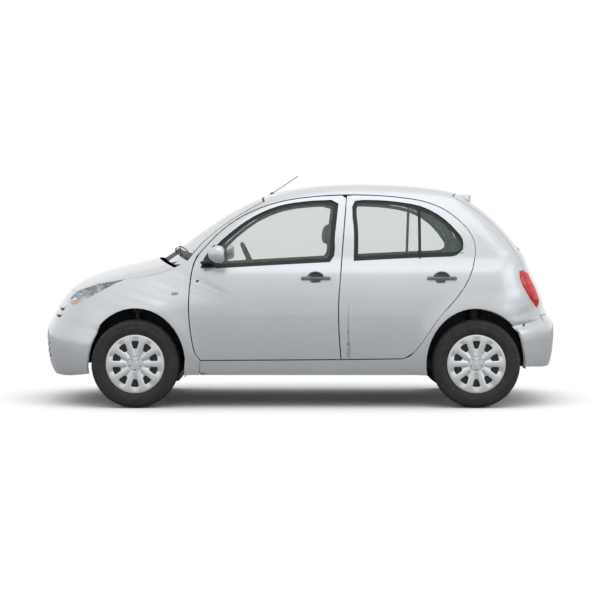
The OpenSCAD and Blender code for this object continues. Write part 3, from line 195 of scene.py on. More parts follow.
def add(tree, kind, settings=None, inputs=None, to=None):
    """Adds a node with its settings; each input is a value, or a socket to link from.

    The setting "stops" gives a colour ramp its (position, hex) stops. The first output is linked to the socket
    given as to."""
    n = tree.nodes.new(kind)
    for key, value in (settings or {}).items():
        if key == "stops":
            for element, (place, code) in zip(n.color_ramp.elements, value):
                element.position, element.color = place, linear(code)
        else:
            setattr(n, key, value)
    for key, value in (inputs or {}).items():
        if isinstance(value, bpy.types.NodeSocket):
            tree.links.new(value, n.inputs[key])
        else:
            n.inputs[key].default_value = value
    if to:
        tree.links.new(n.outputs[0], to)
    return n


def finish_of(name, colour, roughness, metallic=0.0, **more):
    """A material with one Principled shader; returns it, its tree, the shader and the object's coordinates."""
    m = bpy.data.materials.new(name)
    m.use_nodes = True
    m.diffuse_color = linear(colour)
    tree = m.node_tree
    tree.nodes.clear()
    inputs = {"Base Color": linear(colour), "Roughness": roughness, "Metallic": metallic}
    inputs.update({key.replace("_", " "): value for key, value in more.items()})
    shader = add(tree, "ShaderNodeBsdfPrincipled", inputs=inputs)
    add(tree, "ShaderNodeOutputMaterial", inputs={"Surface": shader.outputs[0]})
    return m, tree, shader, add(tree, "ShaderNodeTexCoord").outputs["Object"]


def per_metre(size_mm):
    """The scale of a texture whose features are this many millimetres across."""
    return 1000.0 / size_mm


def silver_paint():
    # Two-coat silver: aluminium flakes under a clear coat, so it brightens towards the light and
    # stays glossy. Flakes are 0.03 mm across and are drawn at 4 mm to show at all.
    code = bpy.context.scene.car_paint.colour_code
    m, tree, shader, place = finish_of("metallic_silver_lacquer", code, 0.38, 0.6, Coat_Weight=1.0,
                                       Coat_Roughness=0.03, Coat_IOR=1.5)
    flake = add(tree, "ShaderNodeTexNoise", inputs={"Vector": place, "Scale": per_metre(4), "Detail": 2.0})
    cloud = add(tree, "ShaderNodeTexNoise", inputs={"Vector": place, "Scale": per_metre(300), "Detail": 1.0})
    tint = add(tree, "ShaderNodeMath", {"operation": "MULTIPLY_ADD"}, {
        0: cloud.outputs["Fac"], 1: 0.25, 2: flake.outputs["Fac"]})
    level = add(tree, "ShaderNodeMapRange", inputs={
        "Value": tint.outputs[0], "From Min": 0.35, "From Max": 0.85, "To Min": 0.90, "To Max": 1.06})
    add(tree, "ShaderNodeHueSaturation", inputs={"Value": level.outputs[0], "Color": linear(code)},
        to=shader.inputs["Base Color"])
    peel = add(tree, "ShaderNodeTexNoise", inputs={"Vector": place, "Scale": per_metre(9), "Detail": 1.0})
    add(tree, "ShaderNodeBump", inputs={"Height": peel.outputs["Fac"], "Strength": 0.012, "Distance": 0.001},
        to=shader.inputs["Coat Normal"])
    return m


def moulded(name, colour, roughness, grain_mm=3.0, strength=0.25, second=None, **more):
    # Injection-moulded plastic with a spark-eroded grain: pebbles about 1 mm across, drawn at 3 mm.
    m, tree, shader, place = finish_of(name, colour, roughness, 0.0, IOR=1.49, **more)
    grain = add(tree, "ShaderNodeTexVoronoi", {"feature": "SMOOTH_F1"},
                {"Vector": place, "Scale": per_metre(grain_mm)})
    add(tree, "ShaderNodeBump", inputs={"Height": grain.outputs["Distance"], "Strength": strength,
                                        "Distance": 0.0004}, to=shader.inputs["Normal"])
    worn = add(tree, "ShaderNodeTexNoise", inputs={"Vector": place, "Scale": per_metre(70), "Detail": 3.0})
    add(tree, "ShaderNodeValToRGB", {"stops": [(0.35, colour), (0.75, second or colour)]},
        {"Fac": worn.outputs["Fac"]}, shader.inputs["Base Color"])
    return m


def tinted_glass():
    # Toughened soda-lime glass with a pale green tint, clear and glossy. Its pale colour, laid over what is
    # behind at 13 per cent, is partly the tint and partly a lit haze: a painted reflection of the bright
    # surround.
    m, tree, shader, place = finish_of("tinted_toughened_glass", "#8FA69B", 0.03, 0.0, IOR=1.52, Alpha=0.13)
    film = add(tree, "ShaderNodeTexNoise", inputs={"Vector": place, "Scale": per_metre(240), "Detail": 2.0})
    # The base colour varies at random about the tint and the painted haze
    add(tree, "ShaderNodeValToRGB", {"stops": [(0.3, "#8BA297"), (0.7, "#93AA9F")]},
        {"Fac": film.outputs["Fac"]}, shader.inputs["Base Color"])
    return m


def lens_plastic(name, colour, second, alpha, rib_mm, ribs=0.35):
    # Polished acrylic lens with moulded optic ribs behind its face.
    m, tree, shader, place = finish_of(name, colour, 0.06, 0.0, IOR=1.49, Alpha=alpha, Coat_Weight=0.6)
    wave = add(tree, "ShaderNodeTexWave", {"bands_direction": "Z"},
               {"Vector": place, "Scale": per_metre(rib_mm) / 20})
    add(tree, "ShaderNodeBump", inputs={"Height": wave.outputs["Fac"], "Strength": ribs, "Distance": 0.001},
        to=shader.inputs["Normal"])
    add(tree, "ShaderNodeValToRGB", {"stops": [(0.2, colour), (0.8, second)]}, {"Fac": wave.outputs["Fac"]},
        shader.inputs["Base Color"])
    return m


def bright_metal(name, colour, roughness, streak_mm=30.0):
    # Chromed or bare metal, with faint streaks in its polish.
    m, tree, shader, place = finish_of(name, colour, roughness, 1.0)
    haze = add(tree, "ShaderNodeTexNoise", inputs={"Vector": place, "Scale": per_metre(streak_mm),
                                                   "Detail": 3.0})
    add(tree, "ShaderNodeMapRange", inputs={"Value": haze.outputs["Fac"], "To Min": roughness * 0.7,
                                            "To Max": roughness * 1.5}, to=shader.inputs["Roughness"])
    return m


def rough_metal(name, colour, second, size_mm, metallic=0.7):
    # Cast or rolled metal under road dirt: mottled, and rough to the touch.
    m, tree, shader, place = finish_of(name, colour, 0.6, metallic)
    spots = add(tree, "ShaderNodeTexNoise", inputs={"Vector": place, "Scale": per_metre(size_mm),
                                                    "Detail": 6.0})
    add(tree, "ShaderNodeValToRGB", {"stops": [(0.35, colour), (0.7, second)]}, {"Fac": spots.outputs["Fac"]},
        shader.inputs["Base Color"])
    add(tree, "ShaderNodeBump", inputs={"Height": spots.outputs["Fac"], "Strength": 0.3, "Distance": 0.001},
        to=shader.inputs["Normal"])
    return m


def tyre_rubber():
    # Vulcanised rubber: matt black-grey, a little paler where it is scuffed, fine rings from the mould.
    m, tree, shader, place = finish_of("vulcanised_rubber", "#242425", 0.78, 0.0, IOR=1.52)
    dust = add(tree, "ShaderNodeTexNoise", inputs={"Vector": place, "Scale": per_metre(45), "Detail": 5.0})
    add(tree, "ShaderNodeValToRGB", {"stops": [(0.35, "#1D1D1E"), (0.75, "#2E2E2F")]},
        {"Fac": dust.outputs["Fac"]}, shader.inputs["Base Color"])
    fine = add(tree, "ShaderNodeTexNoise", inputs={"Vector": place, "Scale": per_metre(3), "Detail": 2.0})
    add(tree, "ShaderNodeBump", inputs={"Height": fine.outputs["Fac"], "Strength": 0.2, "Distance": 0.0005},
        to=shader.inputs["Normal"])
    return m


def seat_cloth():
    # Woven polyester on foam: threads 0.8 mm apart are drawn at 5 mm, with a slight sheen.
    m, tree, shader, place = finish_of("woven_polyester", "#55595A", 0.9, 0.0, Sheen_Weight=0.25,
                                       Sheen_Roughness=0.5)
    warp = add(tree, "ShaderNodeTexWave", {"bands_direction": "Y"},
               {"Vector": place, "Scale": per_metre(5) / 20})
    weft = add(tree, "ShaderNodeTexWave", {"bands_direction": "Z"},
               {"Vector": place, "Scale": per_metre(5) / 20})
    weave = add(tree, "ShaderNodeMath", {"operation": "MULTIPLY"},
                {0: warp.outputs["Fac"], 1: weft.outputs["Fac"]})
    add(tree, "ShaderNodeValToRGB", {"stops": [(0.1, "#3E4243"), (0.8, "#666B6B")]},
        {"Fac": weave.outputs[0]}, shader.inputs["Base Color"])
    add(tree, "ShaderNodeBump", inputs={"Height": weave.outputs[0], "Strength": 0.4, "Distance": 0.001},
        to=shader.inputs["Normal"])
    return m


MATERIALS = {
    "paint": silver_paint,
    "glass": tinted_glass,
    "tyre": tyre_rubber,
    "cloth": seat_cloth,
    "seal": lambda: moulded("extruded_epdm_rubber", "#0B0B0C", 0.55, 4.0, 0.1, "#131314"),
    "black_plastic": lambda: moulded("moulded_black_polypropylene", "#151617", 0.55, 3.0, 0.3, "#202122"),
    "handle": lambda: moulded("moulded_grey_abs", "#6C6E71", 0.42, 3.0, 0.2, "#787A7D"),
    "cabin": lambda: moulded("grained_pvc_skin", "#4A4D4C", 0.7, 4.0, 0.3, "#545756"),
    "headliner": lambda: moulded("needled_felt_lining", "#9A9D97", 0.95, 2.0, 0.3, "#A6A9A3"),
    "cover": lambda: moulded("silver_painted_abs", "#CDD0D2", 0.33, 6.0, 0.02, "#D6D9DB", Metallic=0.45,
                             Coat_Weight=0.5),
    "lens": lambda: lens_plastic("clear_polycarbonate", "#DCE3E6", "#E9EEF0", 0.22, 14.0, 0.1),
    "red": lambda: lens_plastic("red_acrylic", "#C8060C", "#DE1216", 1.0, 9.0, 0.12),
    "smoke": lambda: lens_plastic("clear_acrylic", "#A3A8AB", "#C4C9CC", 1.0, 9.0, 0.12),
    "amber": lambda: lens_plastic("amber_acrylic", "#D9781E", "#F09A3A", 1.0, 8.0),
    "reflector": lambda: bright_metal("aluminised_reflector", "#C9CDD0", 0.28),
    "chrome": lambda: bright_metal("chromed_abs", "#E6E8EA", 0.10),
    "mirror": lambda: bright_metal("silvered_mirror", "#E4E8E8", 0.02),
    "steel": lambda: rough_metal("rolled_steel", "#3A3A3B", "#5A5654", 25.0),
    "iron": lambda: rough_metal("cast_iron", "#38383A", "#4A4644", 12.0),
    "sealer": lambda: rough_metal("stone_chip_sealer", "#0C0C0D", "#161617", 8.0, 0.0),
}
_made = {}


def finish(key):
    """The material of that key, made the first time it is asked for."""
    if key not in _made:
        _made[key] = MATERIALS[key]()
    return _made[key]


# ---- Making pieces ----

def new_piece(name, bm, keys, body, slot_name, replaces=(), smooth=35.0):
    """Turns a bmesh into an object that rides on a body, with its materials, and shades it smooth."""
    mesh = bpy.data.meshes.new(name)
    bm.to_mesh(mesh)
    bm.free()
    for key in keys:
        mesh.materials.append(finish(key))
    mesh.shade_smooth()
    mesh.set_sharp_from_angle(angle=math.radians(smooth))
    piece = bpy.data.objects.new(name, mesh)
    bpy.context.scene.collection.objects.link(piece)
    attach(piece, body)
    if replaces:
        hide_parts(*replaces)
    return piece


def smoothed(piece):
    """The piece with one level of subdivision."""
    sub = piece.modifiers.new("smooth_form", "SUBSURF")
    sub.levels = sub.render_levels = 1
    return piece


def merged(bm, other, index=0):
    """Adds another bmesh, turned to face outwards along Z, with a material of its own; frees the other."""
    for f in other.faces:
        f.material_index = index
    if sum(f.normal.z * f.calc_area() for f in other.faces) < 0:
        bmesh.ops.reverse_faces(other, faces=other.faces)
    mesh = bpy.data.meshes.new("part")
    other.to_mesh(mesh)
    other.free()
    bm.from_mesh(mesh)
    bpy.data.meshes.remove(mesh)
    return bm


def copy_of(node):
    """A bmesh copy of a frame node, merged."""
    bm = bmesh.new()
    bm.from_mesh(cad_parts[node].data)
    bmesh.ops.remove_doubles(bm, verts=bm.verts, dist=2e-5)
    return bm


def places(verts):
    return np.array([v.co[:] for v in verts], float).reshape(-1, 3) / MM


def on_skin(bm, depth, facing, low=-2.9, high=1.4):
    """The faces that lie along the skin at a depth and face out of the car (facing 1) or into it (-1)."""
    bm.verts.index_update()
    bm.normal_update()
    p = places(bm.verts)
    gap = drawn.gap(p) + depth
    slope = drawn.slope(p, 4.0)
    fits = (gap > low) & (gap < high)
    found = []
    for f in bm.faces:
        ids = [v.index for v in f.verts]
        if all(fits[i] for i in ids):
            way = slope[ids].mean(0)
            if facing * float(np.dot(way, f.normal)) > 0.55 * np.linalg.norm(way):
                found.append(f)
    return found


def chains(edges):
    """Closed or open runs of edges, as lists of vertices."""
    links = {}
    for e in edges:
        for a, b in (e.verts, reversed(e.verts)):
            links.setdefault(a, []).append(b)
    left, runs = set(edges), []
    at = {frozenset(e.verts): e for e in edges}
    ends = [v for v, near in links.items() if len(near) != 2]
    for start in ends + list(links):
        for first in links[start]:
            e = at[frozenset((start, first))]
            if e not in left:
                continue
            run = [start, first]
            left.discard(e)
            while len(links[run[-1]]) == 2 and run[-1] is not run[0]:
                a, b = links[run[-1]]
                nxt = b if a is run[-2] else a
                e = at[frozenset((run[-1], nxt))]
                if e not in left:
                    break
                left.discard(e)
                run.append(nxt)
            runs.append(run)
    return runs


def round_outline(run, kept, turn=38.0):
    """Moves the new vertices of a run onto a smooth curve through the kept ones; sharp turns stay."""
    closed = run[0] is run[-1]
    keys = [i for i, v in enumerate(run) if v in kept]
    if len(keys) < 3:
        return
    pts = [run[i].co.copy() for i in keys]
    n = len(keys)
    ways = []
    for k in range(n):
        before = pts[k - 1] if k else (pts[-2] if closed else None)
        after = pts[k + 1] if k < n - 1 else (pts[1] if closed else None)
        if before is None or after is None:
            ways.append((None, None))
            continue
        a, b = pts[k] - before, after - pts[k]
        la, lb = max(a.length, 1e-6), max(b.length, 1e-6)
        if a.angle(b, 0.0) > math.radians(turn) or max(la, lb) > 6 * min(la, lb):
            ways.append((a / la, b / lb))
        else:
            w = (a / la * lb + b / lb * la) / (la + lb)
            ways.append((w, w))
    for k in range(n - 1):
        i, j = keys[k], keys[k + 1]
        if j - i < 2:
            continue
        p, q = pts[k], pts[k + 1]
        d = (q - p).length
        chord = (q - p) / max(d, 1e-6)
        m0, m1 = ways[k][1] or chord, ways[k + 1][0] or chord
        for s in range(i + 1, j):
            t = (s - i) / (j - i)
            run[s].co = ((2 * t**3 - 3 * t**2 + 1) * p + (t**3 - 2 * t**2 + t) * d * m0
                         + (3 * t**2 - 2 * t**3) * q + (t**3 - t**2) * d * m1)


def dress(bm, layers, cuts=3):
    """Refines the faces of a bmesh that lie along the skin and settles them on the smooth surface.

    layers are (depth, facing) pairs. Returns the layer that marks those faces."""
    mark = bm.faces.layers.int.get("skin") or bm.faces.layers.int.new("skin")
    level = bm.verts.layers.float.get("depth") or bm.verts.layers.float.new("depth")
    for number, (depth, facing) in enumerate(layers, 1):
        for f in on_skin(bm, depth, facing):
            f[mark] = number
    kept = set(bm.verts)
    edges = list({e for f in bm.faces if f[mark] for e in f.edges if e.calc_length() > 0.006})
    bmesh.ops.subdivide_edges(bm, edges=edges, cuts=cuts, use_grid_fill=True)
    for run in chains([e for e in bm.edges if len({f[mark] for f in e.link_faces}) > 1]):
        round_outline(run, kept)
    for number, (depth, facing) in enumerate(layers, 1):
        verts = list({v for f in bm.faces if f[mark] == number for v in f.verts})
        if not verts:
            continue
        low, high = (np.array(corner) / MM for corner in cad_box)
        p = np.clip(fair.settle(places(verts), depth), low, high)
        for v, co in zip(verts, p * MM):
            if (v.co - Vector(co)).length < 0.012:
                v.co = co
            v[level] = depth
    # Hinge eyes and hidden corners that graze the skin stay just under it
    hidden = [v for v in bm.verts if not any(f[mark] for f in v.link_faces)]
    if layers and hidden:
        p = places(hidden)
        gap = fair.gap(p)
        for v, g, co in zip(hidden, gap, fair.settle(p, 1.2) * MM):
            if -1.2 < g < 4.0 and (v.co - Vector(co)).length < 0.008:
                v.co = co
    bmesh.ops.triangulate(bm, faces=[f for f in bm.faces if len(f.verts) > 4])
    bm.normal_update()
    return mark


def true_normals(piece):
    """Gives the faces along the skin the surface's own normals, so reflections run without a break."""
    mesh = piece.data
    marks = np.array([d.value for d in mesh.attributes["skin"].data]) if "skin" in mesh.attributes else None
    if marks is None or not marks.any():
        return
    co = np.empty(len(mesh.vertices) * 3)
    mesh.vertices.foreach_get("co", co)
    g = fair.slope(co.reshape(-1, 3) / MM, 3.0)
    g /= np.maximum(np.linalg.norm(g, axis=1), 1e-6)[:, None]
    normals = np.zeros((len(mesh.loops), 3))
    for poly in mesh.polygons:
        if marks[poly.index]:
            way = g[list(poly.vertices)]
            sign = 1.0 if float(np.dot(way.mean(0), poly.normal)) > 0 else -1.0
            normals[poly.loop_start:poly.loop_start + poly.loop_total] = sign * way
    mesh.normals_split_custom_set([tuple(n) for n in normals])


def lined(bm, mark):
    """Gives the faces that look into the car the second material."""
    p = places(bm.verts)
    slope = fair.slope(p, 6.0)
    inside = fair.gap(p) < -0.4
    bm.verts.index_update()
    for f in bm.faces:
        ids = [v.index for v in f.verts]
        if not f[mark] and inside[ids].all() and float(np.dot(slope[ids].mean(0), f.normal)) < 0.3:
            f.material_index = 1


def panel_piece(name, node, body, keys, layers=((0.0, 1),), cuts=3, slot_name="paint", change=None):
    """A panel on the skin, made from its frame node."""
    bm = copy_of(node)
    mark = dress(bm, layers, cuts)
    if len(keys) > 1:
        lined(bm, mark)
    if change:
        change(bm, mark)
    piece = new_piece(name, bm, keys, body, slot_name, (node,))
    true_normals(piece)
    return piece


def tube(name, points, radius_mm, key, body, slot_name="black_plastic"):
    """A round moulding along a line of points, as a mesh."""
    curve = bpy.data.curves.new(name, "CURVE")
    curve.dimensions, curve.bevel_depth, curve.bevel_resolution = "3D", radius_mm * MM, 3
    curve.use_fill_caps = True
    spline = curve.splines.new("POLY")
    spline.points.add(len(points) - 1)
    for p, q in zip(spline.points, points):
        p.co = (*q, 1.0)
    holder = bpy.data.objects.new(name, curve)
    mesh = bpy.data.meshes.new_from_object(holder)
    bpy.data.objects.remove(holder)
    bm = bmesh.new()
    bm.from_mesh(mesh)
    return new_piece(name, bm, [key], body, slot_name)


def spun(profile, steps):
    """A turned shape: (radius, height) pairs in millimetres spun round Z."""
    bm = bmesh.new()
    verts = [bm.verts.new(Vector((r, 0, h)) * MM) for r, h in profile]
    edges = [bm.edges.new(pair) for pair in zip(verts, verts[1:])]
    bmesh.ops.spin(bm, geom=verts + edges, cent=(0, 0, 0), axis=(0, 0, 1), angle=math.tau, steps=steps,
                   use_merge=True)
    bmesh.ops.remove_doubles(bm, verts=bm.verts, dist=1e-6)
    bmesh.ops.recalc_face_normals(bm, faces=bm.faces)
    return bm


def block(bm, size, at, turn=None, round_mm=0.0):
    """A box with rounded edges, added to a bmesh; sizes in millimetres."""
    before = set(bm.verts)
    made = bmesh.ops.create_cube(bm, size=1.0)["verts"]
    bmesh.ops.scale(bm, vec=Vector(size) * MM, verts=made)
    if round_mm:
        bmesh.ops.bevel(bm, geom=list({e for v in made for e in v.link_edges}), offset=round_mm * MM,
                        segments=3, profile=0.5, affect="EDGES", material=-1)
    made = [v for v in bm.verts if v not in before]
    if turn:
        bmesh.ops.rotate(bm, cent=(0, 0, 0), matrix=turn, verts=made)
    bmesh.ops.translate(bm, vec=Vector(at) * MM, verts=made)
    return made


def mirrored(bm, side):
    """Turns a left-hand shape into a right-hand one where side is 1."""
    if side > 0:
        bmesh.ops.scale(bm, vec=(1, -1, 1), verts=bm.verts)
        bmesh.ops.reverse_faces(bm, faces=bm.faces)
    return bm


def wheel_frame(axle, side):
    """The turn and place that lay a shape spun round Z on a wheel's centre with Z pointing outwards."""
    turn = Matrix.Rotation(math.radians(90 if side < 0 else -90), 4, "X")
    return Matrix.Translation(Vector((axle, side * WHEEL_Y, TYRE_RADIUS)) * MM) @ turn


# ---- Sizes and colours a user would change ----

class CarPaintSettings(bpy.types.PropertyGroup):
    """Colours of the body."""

    colour_code: bpy.props.StringProperty(
        name="Paint", description="Body colour as an sRGB hex value", default="#C6CACE")


class CarWheelSettings(bpy.types.PropertyGroup):
    """Sizes of the wheels and tyres."""

    spokes: bpy.props.IntProperty(
        name="Spokes", description="Number of spokes on each wheel cover", default=10, min=5, max=14)
    groove_depth: bpy.props.FloatProperty(
        name="Tread depth", description="Depth of the grooves in the tyres' tread", default=0.007, min=0.002,
        max=0.009, unit="LENGTH", subtype="DISTANCE")


class CarTrimSettings(bpy.types.PropertyGroup):
    """Sizes of the seals and mouldings."""

    seal_width: bpy.props.FloatProperty(
        name="Seal width", description="Width of the black seals round the windows", default=0.030, min=0.01,
        max=0.04, unit="LENGTH", subtype="DISTANCE")
    refine: bpy.props.IntProperty(
        name="Refinement", description="Cuts in each edge of the painted panels", default=3, min=1, max=4)


class CarStageSettings(bpy.types.PropertyGroup):
    """Light and floor."""

    lamp_power: bpy.props.FloatProperty(
        name="Overhead light", description="Power of the overhead softbox in watts", default=130.0, min=0.0,
        max=4000.0)
    sky: bpy.props.FloatProperty(
        name="Surrounding light", description="Strength of the even light from all sides",
        default=1.0, min=0.0, max=2.0)


# ---- Body ----

class CAR_OT_shell_panels(bpy.types.Operator):
    """Builds the painted panels that are fixed to the body: sides, roof, wings and bumpers."""

    bl_idname = "car.shell_panels"
    bl_label = "Fixed body panels"

    def execute(self, context):
        cuts = context.scene.car_trim.refine
        panel_piece("body_sides", "side_frames", "shell", ["paint", "cabin"], cuts=cuts)
        panel_piece("roof_panel", "roof", "shell", ["paint", "headliner"], cuts=cuts)
        panel_piece("wing_panels", "front_wings", "shell", ["paint", "sealer"], cuts=cuts)
        panel_piece("front_bumper_cover", "front_bumper", "shell", ["paint", "black_plastic"], cuts=cuts)
        panel_piece("rear_bumper_cover", "rear_bumper", "shell", ["paint", "black_plastic"], cuts=cuts)
        panel_piece("scuttle_panel", "cowl_panel", "shell", ["black_plastic", "paint"], layers=(), cuts=1,
                    slot_name="black_plastic", change=self.shoulders)
        return {"FINISHED"}

    def shoulders(self, bm, mark):
        """The scuttle's ends are painted; the panel between the wipers' pivots is bare plastic."""
        for f in bm.faces:
            c = f.calc_center_median() / MM
            deep = float(fair.gap(np.array(c[:]))) < -14
            f.material_index = 1 if abs(c.y) > 400 and not deep else 0


# Where the handles' middles sit, and the half sizes of the cup's mouth
HANDLES = {"front": 108.0, "rear": 985.0}
HANDLE_Z = 905.0
MOUTH_X, MOUTH_Z = 46.0, 40.0


def clear_handle(x):
    """Takes the plain handle off a door copy and opens the skin where the cup sits."""
    def change(bm, mark):
        bm.verts.index_update()
        p = places(bm.verts)
        proud = drawn.gap(p) > 1.6
        gone = []
        for f in bm.faces:
            ids = [v.index for v in f.verts]
            c = p[ids].mean(0)
            near = abs(c[0] - x) < 110 and abs(c[2] - HANDLE_Z) < 40
            in_cup = ((c[0] - x) / MOUTH_X) ** 2 + ((c[2] - HANDLE_Z) / MOUTH_Z) ** 2 < 1
            if near and any(proud[i] for i in ids) or (f[mark] and in_cup):
                gone.append(f)
        bmesh.ops.delete(bm, geom=gone, context="FACES")
    return change


class CAR_OT_doors(bpy.types.Operator):
    """Builds the four doors with their inner trim, grab handles and cups."""

    bl_idname = "car.doors"
    bl_label = "Doors"

    def execute(self, context):
        cuts = context.scene.car_trim.refine
        for row, code in (("front", "f"), ("rear", "r")):
            for hand, side in SIDES.items():
                body = f"door_{code}{hand[0]}"
                panel_piece(f"{row}_{hand}_door", f"{row}_door_{hand}", body, ["paint", "cabin"], cuts=cuts,
                            change=clear_handle(HANDLES[row]))
                self.handle(row, hand, side, body)
        return {"FINISHED"}

    def handle(self, row, hand, side, body):
        x = HANDLES[row]
        at = fair.on_side(x, HANDLE_Z)
        slope = fair.slope(np.array(at) / MM)
        lean = math.atan2(slope[2], -slope[1])
        cup = spun([(60, 1.6), (57, 3.0), (53, 2.4), (49, -2), (42, -11), (28, -19), (10, -23),
                    (0, -23.5)], 48)
        bmesh.ops.solidify(cup, geom=cup.faces[:], thickness=0.0012)
        bmesh.ops.scale(cup, vec=(1.0, 0.80, 1.0), verts=cup.verts)
        bar = bmesh.new()
        ends = block(bar, (206, 27, 13), (2, 2, 15), round_mm=5.5)
        for v in ends:
            v.co.y *= 1.0 - 0.42 * min(1.0, abs(v.co.x / MM - 2) / 103) ** 2
        block(bar, (26, 20, 16), (-82, 2, 6), round_mm=3.0)
        block(bar, (26, 20, 16), (86, 2, 6), round_mm=3.0)
        lay = (Matrix.Translation(at) @ Matrix.Rotation(lean, 4, "X")
               @ Matrix.Rotation(math.radians(90), 4, "X"))
        for name, bm in (("cup", cup), ("bar", bar)):
            bmesh.ops.transform(bm, matrix=lay, verts=bm.verts)
            mirrored(bm, side)
            new_piece(f"{row}_{hand}_handle_{name}", bm, ["handle"], body, "black_plastic")


class CAR_OT_lids(bpy.types.Operator):
    """Builds the bonnet and the tailgate with its roof spoiler."""

    bl_idname = "car.lids"
    bl_label = "Bonnet and tailgate"

    def execute(self, context):
        cuts = context.scene.car_trim.refine
        panel_piece("bonnet_panel", "bonnet", "bonnet_lid", ["paint", "sealer"], cuts=cuts)
        panel_piece("tailgate_panel", "tailgate", "tailgate_lid", ["paint", "cabin"], cuts=cuts)
        return {"FINISHED"}


# ---- Glass ----

def seal_round(width, depth):
    """Turns the rim of a pane's outer face, at a depth under the skin, into a black seal of an even width."""
    def change(bm, mark):
        faces = [f for f in bm.faces if f[mark] == 1]
        made = bmesh.ops.inset_region(bm, faces=faces, thickness=width / 2, depth=0.0, use_even_offset=False,
                                      use_boundary=True)
        for f in made["faces"]:
            f.material_index = 1
            f[mark] = 1
        inner = {v for f in faces for v in f.verts}
        rim = [e for f in made["faces"] for e in f.edges if not (e.verts[0] in inner or e.verts[1] in inner)]
        one = np.array([e.verts[0].co[:] for e in rim])
        way = np.array([e.verts[1].co[:] for e in rim]) - one
        for v in inner:
            for _ in range(3):
                p = np.array(v.co[:])
                t = np.clip(((p - one) * way).sum(1) / (way * way).sum(1), 0, 1)[:, None]
                away = p - one - way * t
                far = np.linalg.norm(away, axis=1)
                k = far.argmin()
                if width * 0.98 < far[k] or far[k] < 1e-6:
                    break
                v.co += Vector(away[k]) * (width / far[k] - 1)
        inner = list(inner)
        for v, co in zip(inner, fair.settle(places(inner), depth) * MM):
            v.co = co
        for f in bm.faces:
            if not f[mark]:
                f.material_index = 1
    return change


class CAR_OT_glazing(bpy.types.Operator):
    """Builds the windscreen, the door windows and the rear window with their black seals."""

    bl_idname = "car.glazing"
    bl_label = "Windows and seals"

    def execute(self, context):
        width = context.scene.car_trim.seal_width
        keys = ["glass", "seal"]
        panel_piece("windscreen_pane", "windscreen", "shell", keys, layers=((3.0, 1), (7.0, -1)),
                    slot_name="glass", change=seal_round(width * 0.5, 3.0), cuts=2)
        panel_piece("rear_window_pane", "rear_window", "tailgate_lid", keys, layers=((6.0, 1), (10.0, -1)),
                    slot_name="glass", change=seal_round(width * 0.8, 6.0), cuts=2)
        for row, code in (("front", "f"), ("rear", "r")):
            for hand in SIDES:
                panel_piece(f"{row}_{hand}_window_pane", f"{row}_door_glass_{hand}", f"door_{code}{hand[0]}",
                            keys, layers=((9.0, 1), (13.0, -1)), slot_name="glass",
                            change=seal_round(width, 9.0), cuts=2)
        for hand, side in SIDES.items():
            line = [fair.on_side(837 + 4 * t, 1036 + t * 372, 8.0, side) for t in np.linspace(0, 1, 20)]
            tube(f"rear_{hand}_window_bar", line, 10.0, "seal", f"door_r{hand[0]}")
        return {"FINISHED"}


# ---- Lamps and the front ----

class CAR_OT_lamps(bpy.types.Operator):
    """Builds the head lamps with their reflectors, the side markers and the tail lamps."""

    bl_idname = "car.lamps"
    bl_label = "Lamps"

    def execute(self, context):
        def head(bm, mark):
            self.crown(bm, mark, 16.0)
            for f in bm.faces:
                c = f.calc_center_median() / MM
                if f[mark]:
                    f.material_index = 2 if c.z < 722 - 0.09 * (c.x + 1500) else 0
                else:
                    f.material_index = 1
        panel_piece("head_lamp_lenses", "headlamps", "shell", ["lens", "reflector", "amber"], cuts=3,
                    slot_name="clear_lamp", change=head)

        def tail(bm, mark):
            self.crown(bm, mark, 36.0)
            for f in bm.faces:
                c = f.calc_center_median() / MM
                f.material_index = 1 if c.x > 1655 + 0.40 * (820 - c.z) else 0
        panel_piece("tail_lamp_lenses", "tail_lamps", "shell", ["red", "smoke"], cuts=3, slot_name="red_lamp",
                    change=tail)
        for hand, side in SIDES.items():
            for n, (x, z, size) in enumerate(((-1492, 782, 52), (-1408, 826, 38))):
                bm = spun([(size, 0), (size * 0.93, -6), (size * 0.7, -17), (size * 0.4, -25), (9, -28),
                           (9, -12), (0, -10)], 40)
                bmesh.ops.solidify(bm, geom=bm.faces[:], thickness=0.001)
                at = fair.on_side(x, z, 16.0)
                turn = (Matrix.Translation(at) @ Matrix.Rotation(math.radians(-38), 4, "Z")
                        @ Matrix.Rotation(math.radians(90 + 18), 4, "X"))
                bmesh.ops.transform(bm, matrix=turn, verts=bm.verts)
                mirrored(bm, side)
                new_piece(f"head_lamp_bowl_{hand}_{n}", bm, ["reflector"], "shell", "clear_lamp")
            marker = bmesh.new()
            ball = bmesh.ops.create_uvsphere(marker, u_segments=24, v_segments=12, radius=1.0)["verts"]
            bmesh.ops.scale(marker, vec=Vector((29, 7, 17)) * MM, verts=ball)
            bmesh.ops.translate(marker, vec=fair.on_side(-869, 795, 1.0), verts=ball)
            for f in marker.faces:
                c = (f.calc_center_median() - fair.on_side(-869, 795)) / MM
                f.material_index = 1 if abs(c.x) < 9 and abs(c.z) < 10 else 0
            mirrored(marker, side)
            new_piece(f"side_marker_{hand}", marker, ["smoke", "amber"], "shell", "clear_lamp")
        return {"FINISHED"}

    def crown(self, bm, mark, height):
        """Domes the outer face of a lens: it stands out from the body more, the further it is from its edge."""
        faces = {f for f in bm.faces if f[mark]}
        inner = {v for f in faces for v in f.verts}
        rim = np.array([v.co[:] for v in inner if any(f not in faces for f in v.link_faces)])
        verts = [v for v in inner if all(f in faces for f in v.link_faces)]
        ways = fair.slope(places(verts), 4.0)
        for v, way in zip(verts, ways):
            far = np.linalg.norm(rim - np.array(v.co[:]), axis=1).min() / MM
            v.co += Vector(way / np.linalg.norm(way)) * MM * height * (1 - math.exp(-(far / 16) ** 2))


